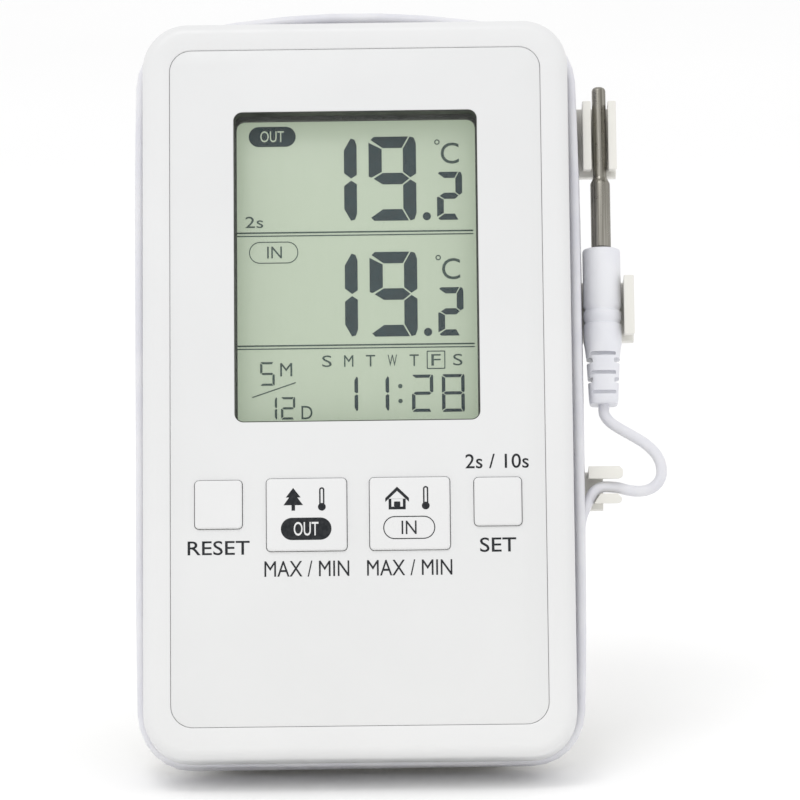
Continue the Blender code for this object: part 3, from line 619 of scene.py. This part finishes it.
def digit(value, low_x, high_x, low_z, high_z, wide, tall, gap):
    """The lit bars of one seven-segment digit, each a mitred shape parted from the next by a gap."""
    middle = (low_z + high_z) / 2
    # Each point: the side it is measured from, widths in from there, and heights down from the top, or, if
    # negative, up from the middle.
    shapes = {
        "a": ((0, 0.4, 0.0), (1, 0.5, 0.0), (1, 1.0, 1.0), (0, 1.0, 1.0), (0, 0.12, 0.3)),
        "b": ((1, 0.5, 0.0), (1, 0.16, 0.1), (1, 0.0, 0.6), (1, 0.0, -0.35), (1, 0.45, -0.02),
              (1, 1.0, -0.5), (1, 1.0, 1.0)),
        "f": ((0, 0.0, 0.42), (0, 1.0, 1.0), (0, 1.0, -0.5), (0, 0.25, -0.04), (0, 0.0, -0.14)),
    }
    bars = []
    for name in LIT[value]:
        if name == "g":
            outline = [(low_x + 0.3 * wide, middle), (low_x + wide, middle + tall / 2),
                       (high_x - wide, middle + tall / 2), (high_x - 0.45 * wide, middle),
                       (high_x - wide, middle - tall / 2), (low_x + wide, middle - tall / 2)]
        else:
            outline = []
            for side, across, down in shapes[{"c": "b", "d": "a", "e": "f"}.get(name, name)]:
                x = high_x - across * wide if side else low_x + across * wide
                z = high_z - down * tall if down >= 0 else middle - down * tall
                outline.append((x, 2 * middle - z if name in "cde" else z))
        bars.append(mark(shrunk(outline, gap / 2)))
    return bars


def letters(text, low_x, high_x, low_z, high_z, front, depth=MARK_DEPTH, heavy=0.0):
    """Plain sans-serif words fitted to a box, a hair thick."""
    curve = bpy.data.curves.new("letters", "FONT")
    curve.body = text
    curve.extrude = 0.5
    curve.offset = heavy
    curve.resolution_u = 4
    thing = bpy.data.objects.new("letters", curve)
    bpy.context.scene.collection.objects.link(thing)
    flat = bpy.data.meshes.new_from_object(thing.evaluated_get(bpy.context.evaluated_depsgraph_get()))
    bpy.data.objects.remove(thing, do_unlink=True)
    build = bmesh.new()
    build.from_mesh(flat)
    bmesh.ops.remove_doubles(build, verts=build.verts, dist=0.0001)
    xs = [v.co.x for v in build.verts]
    zs = [v.co.y for v in build.verts]
    for v in build.verts:
        across = (v.co.x - min(xs)) / (max(xs) - min(xs))
        rise = (v.co.y - min(zs)) / (max(zs) - min(zs))
        y = front + depth * (0.5 - v.co.z)
        v.co = (low_x + across * (high_x - low_x), y, low_z + rise * (high_z - low_z))
    return build


def disc(x, z, radius, sides=24):
    return [(x + radius * cos(tau * k / sides), z + radius * sin(tau * k / sides)) for k in range(sides)]


def bar(x1, z1, x2, z2, thick):
    """A straight stroke as an outline."""
    run = Vector((x2 - x1, z2 - z1)).normalized() * thick / 2
    return [(x1 - run.y, z1 + run.x), (x1 + run.y, z1 - run.x),
            (x2 + run.y, z2 - run.x), (x2 - run.y, z2 + run.x)]


def temperature(drop):
    """One row of large digits with its point, unit and small tenth."""
    parts = digit("1", -7.0, 0.2, 79.0 - drop, 91.5 - drop, 2.06, 1.85, 0.2)
    parts += digit("9", 1.74, 8.87, 78.95 - drop, 91.7 - drop, 2.12, 1.9, 0.2)
    parts += digit("2", 11.7, 15.52, 79.0 - drop, 86.3 - drop, 1.12, 1.05, 0.14)
    parts.append(mark(disc(10.26, 79.64 - drop, 0.6)))
    return parts


def unit(drop):
    return [letters("C", 12.38, 15.03, 87.45 - drop, 90.6 - drop, MARK_FRONT),
            ring_mark(disc(11.85, 90.7 - drop, 0.4), disc(11.85, 90.7 - drop, 0.24))]


def reflector_and_painted_glow():
    """Grey green polariser with a faint upright grain; part of its even brightness is painted light, given off
    to lift the shade of its recess.
    """
    material, tree, shader = shade("display_glass", CELL_GROUND, 0.35)
    place = tree.nodes.new("ShaderNodeTexCoord")
    stretch = tree.nodes.new("ShaderNodeMapping")
    stretch.inputs["Scale"].default_value = (2600.0, 160.0, 160.0)
    noise = tree.nodes.new("ShaderNodeTexNoise")
    noise.inputs["Scale"].default_value = 1.0
    noise.inputs["Detail"].default_value = 3.0
    ramp = tree.nodes.new("ShaderNodeValToRGB")
    ramp.color_ramp.elements[0].position = 0.3
    ramp.color_ramp.elements[0].color = (*CELL_GROUND, 1)
    ramp.color_ramp.elements[1].position = 0.7
    ramp.color_ramp.elements[1].color = (*CELL_OTHER, 1)
    tree.links.new(place.outputs["Object"], stretch.inputs["Vector"])
    tree.links.new(stretch.outputs["Vector"], noise.inputs["Vector"])
    tree.links.new(noise.outputs["Fac"], ramp.inputs["Fac"])
    tree.links.new(ramp.outputs["Color"], shader.inputs["Base Color"])
    vary_roughness(tree, shader, place, 500, 0.3, 0.42)
    # Painted light: an even glow from the cell, standing in for the light that its recess shades off.
    shader.inputs["Emission Color"].default_value = (*CELL_PAINTED_LIGHT, 1)
    shader.inputs["Emission Strength"].default_value = PAINTED_LIGHT_STRENGTH
    return material


def dye(name, colour):
    """Liquid crystal dye, a little uneven in depth."""
    material, tree, shader = shade(name, colour, 0.4)
    place = mottle(tree, shader, colour, tuple(c * 1.25 for c in colour), 900)
    vary_roughness(tree, shader, place, 900, 0.5, 0.65)
    shader.inputs["Specular IOR Level"].default_value = 0.15
    return material


GROUND = reflector_and_painted_glow()
glass = joined([soften(block((-CELL_HALF, 5.45, CELL_LOW), (CELL_HALF, CELL_BACK, CELL_HIGH)), 0.1),
                soften(block((-CELL_HALF, CELL_FRONT, CELL_LOW + 0.8), (CELL_HALF, 5.4, CELL_HIGH)), 0.1)])
fit(to_piece("display_cell", glass), GROUND, "housing", "display_glass", "lcd_cell")

heavy = temperature(0) + temperature(ROW_SHIFT)
heavy.append(mark(rounded(6.87, 90.3, 93.3, 1.49, 8, -12.22)))
for value, box, wide, tall in (
    ("1", (-3.2, 0.08, 50.85, 56.0), 0.62, 0.58),
    ("1", (1.2, 4.58, 50.85, 56.0), 0.62, 0.58),
    ("2", (7.78, 10.98, 50.62, 56.2), 0.6, 0.56),
    ("8", (12.12, 15.52, 50.58, 56.22), 0.6, 0.56),
):
    heavy += digit(value, *box, wide, tall, 0.1)
fit(to_piece("display_digits", joined(heavy), 30), dye("dark_dye", DARK_MARK), "housing", "black_plastic")

thin = unit(0) + unit(ROW_SHIFT + 0.05)
for z, thick in ((77.44, 0.22), (76.96, 0.16), (60.66, 0.22), (60.2, 0.16)):
    thin.append(mark(bar(-17.5, z, 17.0, z, thick)))
thin.append(ring_mark(rounded(7.17, 72.88, 76.12, 1.6, 8, -12.1),
                      rounded(6.91, 73.01, 75.99, 1.47, 8, -12.1)))
thin.append(letters("IN", -13.05, -10.9, 73.65, 75.4, MARK_FRONT))
thin.append(letters("2s", -16.2, -13.6, 78.2, 79.9, MARK_FRONT))
for number, day in enumerate(DAYS):
    x = DAY_FIRST + (DAY_LAST - DAY_FIRST) * number / (len(DAYS) - 1)
    thin.append(letters(day, x - 0.68, x + 0.68, DAY_Z - 0.85, DAY_Z + 0.85, MARK_FRONT))
    if number == TODAY:
        thin.append(ring_mark(rounded(2.7, DAY_Z - 1.33, DAY_Z + 1.37, 0.12, 2, x),
                              rounded(2.4, DAY_Z - 1.18, DAY_Z + 1.22, 0.05, 2, x)))
thin += digit("5", -14.2, -12.0, 54.75, 58.32, 0.42, 0.4, 0.08)
thin += digit("1", -13.6, -11.68, 49.76, 53.1, 0.42, 0.4, 0.08)
thin += digit("2", -11.2, -9.05, 49.74, 53.12, 0.42, 0.4, 0.08)
thin.append(letters("M", -11.25, -9.5, 56.15, 58.1, MARK_FRONT))
thin.append(letters("D", -8.2, -6.6, 49.8, 51.75, MARK_FRONT))
thin.append(mark(bar(-15.31, 53.08, -9.01, 55.2, 0.16)))
for z in (54.5, 52.3):
    thin.append(mark(disc(6.15, z, 0.32)))
fit(to_piece("display_marks", joined(thin), 30), dye("thin_dye", THIN_MARK), "housing", "black_plastic")

word = letters("OUT", -13.95, -10.5, 91.0, 92.65, MARK_FRONT - 0.03)
fit(to_piece("display_out_word", word, 30), GROUND, "housing", "display_glass")

carrier = soften(taken("lcd_frame"), 0.12, 1)
fit(to_piece("display_carrier", carrier), BLACK, "housing", "black_plastic", "lcd_frame")
recoat("zebra_strip", RUBBER)


# ---------------------------------------------------------------- front cover
# The bezel is a white ABS moulding with a soft front edge. A recess takes the face plate; behind it a panel
# wall holds the display and the buttons, and four pillars take the case screws.

WHITE_TONE, WHITE_OTHER = (0.724, 0.726, 0.729), (0.738, 0.740, 0.743)
BEZEL_WIDTH, BEZEL_HEIGHT, BEZEL_CORNER, BEZEL_ROUND, BEZEL_BACK = 62.0, 108.0, 6.6, 1.8, 7.0
RECESS_WIDTH, RECESS_LOW, RECESS_HIGH, RECESS_CORNER = 54.0, 4.5, 103.8, 3.2
PANEL_FRONT, PANEL_BACK = 1.05, 2.55
LIP = 0.22                     # rounding where the bezel turns into its recess
HUB_GAP = 0.3                  # between the hub and the bezel that fits over its front
WINDOW_WIDTH, WINDOW_LOW, WINDOW_HIGH, WINDOW_CORNER = 35.4, 48.65, 94.5, 1.3
BUTTON_PLACES = {"reset": (-20.05, 36.65, 6.8, 7.0), "out": (-7.4, 35.05, 11.5, 10.5),
                 "in": (7.4, 35.05, 11.5, 10.5), "set": (20.05, 36.65, 6.8, 7.0)}
PILLARS = ((-21.5, 15.0), (21.5, 15.0), (-22.8, 77.0), (22.8, 77.0))


def button_outline(key, by, corner=0.6):
    x, z, width, height = BUTTON_PLACES[key]
    return rounded(width + 2 * by, z - height / 2 - by, z + height / 2 + by, corner + by, 5, x)


def window_outline(by):
    return rounded(WINDOW_WIDTH + 2 * by, WINDOW_LOW - by, WINDOW_HIGH + by, WINDOW_CORNER + by, 10)


def bezel():
    def outline(inset):
        return rounded(BEZEL_WIDTH - 2 * inset, inset, BEZEL_HEIGHT - inset, BEZEL_CORNER - inset, 14)

    def recess(by):
        return rounded(RECESS_WIDTH + 2 * by, RECESS_LOW - by, RECESS_HIGH + by, RECESS_CORNER + by, 12)

    turns = [step / 9 * pi / 2 for step in range(10)]
    sections = [(BEZEL_ROUND * (1 - sin(a)), outline(BEZEL_ROUND * (1 - cos(a)))) for a in reversed(turns)]
    sections += [(BEZEL_BACK - 0.25, outline(0)), (BEZEL_BACK - 0.07, outline(0.07)),
                 (BEZEL_BACK, outline(0.25))]
    cover = loft(sections)
    lip = [(LIP * (1 - cos(a)), recess(LIP * (1 - sin(a)))) for a in turns[::3]]
    cover = cut(cover, loft([(-1.0, recess(LIP))] + lip + [(PANEL_FRONT, recess(0))]))
    bay = rounded(2 * (HUB_HALF + HUB_GAP), HUB_LOW - HUB_GAP, HUB_HIGH + HUB_GAP, HUB_CORNER + HUB_GAP)
    cover = cut(cover, loft([(PANEL_BACK, bay), (BEZEL_BACK + 1, bay)]))
    for x, z in PILLARS:
        profile = [(1.4, 2.3), (2.2, 2.3), (2.2, 7.6), (2.1, 7.7), (1.5, 7.7), (1.4, 7.6)]
        cover = cut(cover, turned(profile, "Y", (x, 0, z), 24, True), "UNION")
    for outline in [window_outline(0)] + [button_outline(key, 0.3) for key in KEYS]:
        cover = cut(cover, loft([(-1.0, outline), (PANEL_BACK + 1, outline)]))
    return cover


WHITE = moulding("white_abs", WHITE_TONE, WHITE_OTHER, 0.36)
fit(to_piece("bezel", bezel()), WHITE, "housing", "white_case", "front_cover")


# ---------------------------------------------------------------- face plate
# A thin satin plate is glued into the recess, its legends printed in black ink. The window's opening is lined
# with a thin black frame, and a clear pane behind it keeps dust off the display.

PLATE_WIDTH, PLATE_LOW, PLATE_HIGH, PLATE_CORNER = 53.9, 4.55, 103.75, 3.15
PLATE_FRONT, PLATE_BACK = 0.15, 0.75
PLATE_EDGE = ((0.0, 0.1), (0.03, 0.03), (0.1, 0.0))   # how far behind the front, and how far in
PLATE_TONE, PLATE_OTHER = (0.712, 0.716, 0.718), (0.724, 0.728, 0.730)
INK_TONE, INK_OTHER = (0.012, 0.014, 0.017), (0.025, 0.027, 0.03)
PRINT_RISE, PRINT_DEPTH = 0.02, 0.04
BUTTON_GAP = 0.1               # between the plate and each button
LINER = 0.14                   # thickness of the black frame in the window


def ink():
    """Screen-printed black ink with a slightly starved surface."""
    material, tree, shader = shade("black_ink", INK_TONE, 0.45)
    place = mottle(tree, shader, INK_TONE, INK_OTHER, 1800)
    vary_roughness(tree, shader, place, 1500, 0.5, 0.65)
    shader.inputs["Specular IOR Level"].default_value = 0.2
    return material


def pane():
    """Clear acrylic, all but invisible, its faces touched by fine haze."""
    material, tree, shader = shade("clear_acrylic", (0.93, 0.96, 0.95), 0.06)
    shader.inputs["Alpha"].default_value = 0.03
    place = tree.nodes.new("ShaderNodeTexCoord")
    vary_roughness(tree, shader, place, 300, 0.04, 0.12)
    return material


def plate_outline(by):
    return rounded(PLATE_WIDTH - 2 * by, PLATE_LOW + by, PLATE_HIGH - by, PLATE_CORNER - by, 12)


plate = loft([(PLATE_FRONT + behind, plate_outline(by)) for behind, by in PLATE_EDGE]
             + [(PLATE_BACK, plate_outline(0.0))])
plate = cut(plate, loft([(-1.0, window_outline(0.06)), (PLATE_FRONT, window_outline(0.06)),
                         (PLATE_FRONT + 0.06, window_outline(0)), (2.0, window_outline(0))]))
for key in KEYS:
    opening = button_outline(key, BUTTON_GAP)
    plate = cut(plate, loft([(-1.0, opening), (2.0, opening)]))
SATIN = moulding("satin_plate", PLATE_TONE, PLATE_OTHER, 0.4, 0.06)
fit(to_piece("face_plate", plate), SATIN, "housing", "face_plate", "faceplate")

liner = loft([(0.3, window_outline(-0.01)), (PANEL_BACK, window_outline(-0.01)),
              (PANEL_BACK, window_outline(-LINER)), (0.3, window_outline(-LINER))], closed=True)
fit(to_piece("window_liner", liner), BLACK, "housing", "black_plastic")
clear = soften(taken("display_window"), 0.1, 2)
fit(to_piece("window_pane", clear), pane(), "housing", "clear_window", "display_window")

INK = ink()
on_plate = PLATE_FRONT - PRINT_RISE
LEGEND_WEIGHT = 0.005          # an M closes up at this weight, so words with one are left plain
legends = [letters(text, *box, on_plate, PRINT_DEPTH, weight) for text, weight, box in (
    ("RESET", LEGEND_WEIGHT, (-24.5, -15.6, 29.35, 31.4)),
    ("MAX / MIN", 0.0, (-13.5, -1.35, 26.1, 28.4)),
    ("MAX / MIN", 0.0, (1.2, 13.4, 26.1, 28.4)),
    ("2s / 10s", LEGEND_WEIGHT, (15.45, 24.55, 41.5, 43.6)),
    ("SET", LEGEND_WEIGHT, (17.4, 22.6, 29.35, 31.45)),
)]
fit(to_piece("plate_legends", joined(legends), 30), INK, "housing", "black_plastic")


# ---------------------------------------------------------------- buttons
# Four white ABS caps stand a little proud of the plate, with soft edges and a flange that keeps them in. The
# two middle ones carry printed pictures, a tree or a house beside a thermometer, over their names.

CAP_FRONT, CAP_BACK, CAP_FLANGE, CAP_ROUND = -0.35, 3.7, 2.85, 0.3


def cap(key):
    """A button's cap, flat in front with a rounded edge and a flange behind."""
    sections = []
    for step in range(6):
        a = step / 5 * pi / 2
        inset = button_outline(key, -CAP_ROUND * (1 - cos(a)))
        sections.append((CAP_FRONT + CAP_ROUND * (1 - sin(a)), inset))
    sections.reverse()
    sections += [(CAP_FLANGE, button_outline(key, 0)), (CAP_FLANGE + 0.05, button_outline(key, 0.75)),
                 (CAP_BACK - 0.1, button_outline(key, 0.8)), (CAP_BACK, button_outline(key, 0.7))]
    return loft(sections)


def tube_picture(x, low, high, front):
    """A thermometer: stem with a round bulb, and a bar of liquid left open in it."""
    width = (high - low) * 0.22
    outer = rounded(width, low + width * 0.6, high, width / 2 * 0.98, 5, x)
    inner = rounded(width * 0.45, low + width * 0.9, high - width * 0.3, width * 0.2, 5, x)
    return [ring_mark(outer, inner, front, PRINT_DEPTH),
            mark(disc(x, low + width * 0.75, width * 0.75), front - 0.005, PRINT_DEPTH)]


def tree_picture(low_x, high_x, low_z, high_z, front):
    """A fir in one outline: trunk and two tiers."""
    middle, half, rise = (low_x + high_x) / 2, (high_x - low_x) / 2, high_z - low_z
    right = [(0.18, 0.0), (0.18, 0.24), (1.0, 0.24), (0.42, 0.58), (0.76, 0.58)]
    points = [(middle + half * x, low_z + rise * z) for x, z in right] + [(middle, high_z)]
    points += [(middle - half * x, low_z + rise * z) for x, z in reversed(right)]
    return [mark(points, front, PRINT_DEPTH)]


def house_picture(low_x, high_x, low_z, high_z, front):
    """Roof, walls and door of a house."""
    middle = (low_x + high_x) / 2
    eaves = low_z + (high_z - low_z) * 0.5
    wall = (high_x - low_x) * 0.14
    parts = [mark([(low_x, eaves), (middle, high_z), (high_x, eaves), (high_x, eaves - 0.55),
                   (middle, high_z - 0.6), (low_x, eaves - 0.55)], front, PRINT_DEPTH)]
    near, far = low_x + wall, high_x - wall
    outer = [(far, low_z), (far, eaves - 0.1), (near, eaves - 0.1), (near, low_z)]
    inner = [(far - 0.4, low_z + 0.4), (far - 0.4, eaves - 0.12),
             (near + 0.4, eaves - 0.12), (near + 0.4, low_z + 0.4)]
    parts.append(ring_mark(outer, inner, front + 0.005, PRINT_DEPTH))
    parts.append(mark(rounded(0.9, low_z + 0.4, low_z + 1.15, 0.1, 2, middle), front, PRINT_DEPTH))
    return parts


on_cap = CAP_FRONT - PRINT_RISE
for key in KEYS:
    fit(to_piece(f"{key}_cap", cap(key), 35), WHITE, f"{key}_key", "white_case", f"{key}_button")
prints = tree_picture(-10.7, -7.9, 35.6, 38.9, on_cap) + tube_picture(-5.2, 35.55, 38.95, on_cap)
prints.append(mark(rounded(7.26, 31.33, 34.56, 1.6, 10, -7.47), on_cap, PRINT_DEPTH))
fit(to_piece("out_print", joined(prints), 30), INK, "out_key", "black_plastic")
word = letters("OUT", -9.25, -5.7, 31.95, 33.95, on_cap - 0.02, PRINT_DEPTH, LEGEND_WEIGHT)
fit(to_piece("out_word", word, 30), WHITE, "out_key", "white_case")
prints = house_picture(3.9, 7.3, 35.6, 38.9, on_cap) + tube_picture(9.7, 35.55, 38.95, on_cap)
prints.append(ring_mark(rounded(7.45, 31.29, 34.63, 1.65, 10, 7.3),
                        rounded(7.17, 31.43, 34.49, 1.51, 10, 7.3), on_cap, PRINT_DEPTH))
prints.append(letters("IN", 6.2, 8.35, 32.0, 33.95, on_cap, PRINT_DEPTH))
fit(to_piece("in_print", joined(prints), 30), INK, "in_key", "black_plastic")


# ---------------------------------------------------------------- fixings, door and stand
# Four cross-head screws join the case. The door slides up off the battery bay, with finger grooves near its
# lower edge, and the stand swings on a steel pin, its back sunk inside a rim as a thin moulding is.

RIDGES, RIDGE_LOW, RIDGE_STEP = 6, 86.5, 1.7
HINGE_PLACE, STAND_OPEN = (0, 19.05, 60.0), radians(32)
STAND_PLACE = Matrix.Translation(HINGE_PLACE) @ Matrix.Rotation(STAND_OPEN, 4, "X")
STAND_SINK = 0.5

for number in range(1, 5):
    name = f"case_screw_{number}"
    fit(to_piece(f"screw_{number}", soften(taken(name), 0.1, 1, 50)), STEEL, "housing", "plated_steel", name)

door = soften(taken("battery_door"), 0.2)
for ridge in range(RIDGES):
    z = RIDGE_LOW + ridge * RIDGE_STEP
    door = cut(door, soften(block((-8, 20.1, z), (8, 21.5, z + 0.8)), 0.25, 3))
fit(to_piece("door_moulding", door), IVORY, "door", "ivory_back", "battery_door")

leg = soften(taken("stand"), 0.25)
hollow = soften(block((-12.5, 1.1 - STAND_SINK, -51), (12.5, 3, -6)), 0.6, 3)
bmesh.ops.transform(hollow, matrix=STAND_PLACE, verts=hollow.verts)
leg = cut(leg, hollow)
fit(to_piece("stand_leg", leg), IVORY, "back_stand", "ivory_back", "stand")
recoat("stand_pin", STEEL)


# ---------------------------------------------------------------- probe holders
# Two open clips and a two-fingered hook stand out from the right edge of the back, in the same ivory ABS. The
# probe snaps between the clips' arms from the front.

for name, edge in (("probe_clip_upper", 0.18), ("probe_clip_lower", 0.18), ("cord_hook", 0.45)):
    fit(to_piece(f"{name}_moulding", soften(taken(name), edge, 3)), IVORY, "housing", "ivory_back", name)


# ---------------------------------------------------------------- probe
# A drawn steel sheath, stepped down towards its tip, is pushed into a round handle. The handle's lower end
# is a squared, slotted boot that bends with the cord.

PROBE_X, PROBE_Y = 35.75, 12.0
CASE_LEAN = radians(20)        # the streaks of the steel lean back with the case
RING_GROOVES = ((64.55, 65.35), (66.45, 67.25))
BOOT_SLOTS = (60.0, 57.2, 54.3)
BOOT_NOTCHES = (59.0, 56.1)


def superellipse(half, power, sides=40):
    points = []
    for k in range(sides):
        a = tau * k / sides
        reach = half / (abs(cos(a)) ** power + abs(sin(a)) ** power) ** (1 / power)
        points.append((reach * cos(a), reach * sin(a)))
    return points


def handle():
    """Round at the top and squared at the boot, with two shallow rings and the boot's slots."""
    sections = [(52.7, 1.95, 4.0), (52.95, 2.08, 4.0), (53.3, 2.14, 4.0), (56.0, 2.27, 3.6),
                (59.5, 2.45, 3.2), (61.2, 2.66, 2.4), (61.8, 2.78, 2.1)]
    for low, high in RING_GROOVES:
        sections += [(low, 2.78, 2.0), (low + 0.14, 2.6, 2.0), (high - 0.3, 2.6, 2.0), (high, 2.78, 2.0)]
    sections += [(75.35, 2.78, 2.0), (75.6, 2.74, 2.0), (75.77, 2.64, 2.0), (75.85, 2.45, 2.0)]
    build = bmesh.new()
    rings = [[build.verts.new((PROBE_X + x, PROBE_Y + y, z)) for x, y in superellipse(half, power)]
             for z, half, power in sections]
    build.faces.new(rings[0])
    build.faces.new(rings[-1])
    for first, second in zip(rings, rings[1:]):
        for k in range(len(first)):
            n = (k + 1) % len(first)
            build.faces.new((first[k], first[n], second[n], second[k]))
    for z in BOOT_SLOTS:
        for side in (-1, 1):
            y = PROBE_Y + side * 2.6
            slot = block((PROBE_X - 1.8, y - 1.15, z - 0.27), (PROBE_X + 1.8, y + 1.0, z + 0.27))
            build = cut(build, soften(slot, 0.12))
    for z in BOOT_NOTCHES:
        for side in (-1, 1):
            x = PROBE_X + side * 2.3
            notch = block((x - 0.75, PROBE_Y - 3, z - 0.4), (x + 0.75, PROBE_Y + 3, z + 0.4))
            build = cut(build, soften(notch, 0.2))
    return build


def drawn_steel():
    """Stainless tube brushed along its length in streaks of warm grey, set darker than bare steel as a painted
    reflection of dark surroundings.
    """
    material, tree, shader = shade("drawn_steel", (0.27, 0.255, 0.225), 0.32, 1.0)
    place = tree.nodes.new("ShaderNodeTexCoord")
    upright = tree.nodes.new("ShaderNodeMapping")
    upright.inputs["Rotation"].default_value = (CASE_LEAN, 0, 0)
    turn = tree.nodes.new("ShaderNodeMapping")
    turn.inputs["Scale"].default_value = (4200.0, 4200.0, 60.0)
    streak = tree.nodes.new("ShaderNodeTexNoise")
    streak.inputs["Scale"].default_value = 1.0
    streak.inputs["Detail"].default_value = 3.0
    ramp = tree.nodes.new("ShaderNodeValToRGB")
    # Painted reflection: both tones are darker than bare steel, standing in for dark surroundings mirrored in
    # the tube.
    ramp.color_ramp.elements[0].position = 0.35
    ramp.color_ramp.elements[0].color = (0.16, 0.152, 0.13, 1)
    ramp.color_ramp.elements[1].position = 0.65
    ramp.color_ramp.elements[1].color = (0.37, 0.355, 0.315, 1)
    bump = tree.nodes.new("ShaderNodeBump")
    bump.inputs["Strength"].default_value = 0.3
    bump.inputs["Distance"].default_value = 0.00002
    tree.links.new(place.outputs["Object"], upright.inputs["Vector"])
    tree.links.new(upright.outputs["Vector"], turn.inputs["Vector"])
    tree.links.new(turn.outputs["Vector"], streak.inputs["Vector"])
    tree.links.new(streak.outputs["Fac"], ramp.inputs["Fac"])
    tree.links.new(ramp.outputs["Color"], shader.inputs["Base Color"])
    tree.links.new(streak.outputs["Fac"], bump.inputs["Height"])
    tree.links.new(bump.outputs["Normal"], shader.inputs["Normal"])
    vary_roughness(tree, shader, place, 1400, 0.24, 0.44)
    return material


def handle_pvc():
    material, tree, shader = shade("probe_pvc", (0.745, 0.75, 0.795), 0.4)
    place = mottle(tree, shader, (0.735, 0.74, 0.785), (0.775, 0.78, 0.81), 130)
    vary_roughness(tree, shader, place, 500, 0.34, 0.48)
    grain(tree, shader, place, 4200, 0.12, 0.00002)
    return material


fit(to_piece("probe_boot", handle()), handle_pvc(), "probe", "cord_jacket", "probe_handle")
sheath = turned([(1.3, 76.15), (1.45, 76.25), (1.45, 85.65), (1.41, 85.85), (1.2, 86.25), (1.05, 86.6),
                 (1.02, 86.8), (1.02, 99.75), (0.97, 99.98), (0.82, 100.2), (0.62, 100.32),
                 (0.35, 100.38), (0, 100.4)], "Z", (PROBE_X, PROBE_Y, 0))
fit(to_piece("probe_sheath", sheath, 50), drawn_steel(), "probe", "probe_steel", "probe_stem")


# ---------------------------------------------------------------- floor and light
# A wide white floor, a soft light high in front, a faint warm one at the floor and an even white surround.

FLOOR_SIZE = 6.0
FLOOR_DROP = 0.0001            # keeps the floor clear of the feet
KEY_POWER, BOUNCE_POWER, SURROUND = 2.0, 0.0035, 0.99


def studio_floor():
    material, tree, shader = shade("floor_white", (0.97, 0.97, 0.97), 0.9)
    mottle(tree, shader, (0.965, 0.965, 0.965), (0.975, 0.975, 0.975), 3)
    build = bmesh.new()
    bmesh.ops.create_grid(build, x_segments=1, y_segments=1, size=FLOOR_SIZE / 2)
    mesh = bpy.data.meshes.new("floor")
    build.to_mesh(mesh)
    build.free()
    floor = bpy.data.objects.new("floor", mesh)
    floor.location.z = -FLOOR_DROP
    bpy.context.scene.collection.objects.link(floor)
    mesh.materials.append(material)


def lamp(name, place, power, size, aim, colour=(1.0, 1.0, 1.0)):
    light = bpy.data.lights.new(name, "AREA")
    light.shape = "RECTANGLE"
    light.energy = power
    light.color = colour
    light.size, light.size_y = size
    thing = bpy.data.objects.new(name, light)
    bpy.context.scene.collection.objects.link(thing)
    thing.location = place
    thing.rotation_euler = (Vector(place) - Vector(aim)).to_track_quat("Z", "Y").to_euler()


studio_floor()
lamp("key", (-0.2, -0.45, 1.0), KEY_POWER, (0.4, 0.4), (0.0, 0.0, 0.05))
lamp("table_bounce", (0.0, -0.1, 0.009), BOUNCE_POWER, (0.12, 0.014), (0.0, 0.0, 0.006), (1.0, 0.93, 0.7))
world = bpy.data.worlds.new("surround")
world.use_nodes = True
world.node_tree.nodes["Background"].inputs["Color"].default_value = (1, 1, 1, 1)
world.node_tree.nodes["Background"].inputs["Strength"].default_value = SURROUND
bpy.context.scene.world = world
bpy.context.scene.view_settings.view_transform = "Standard"
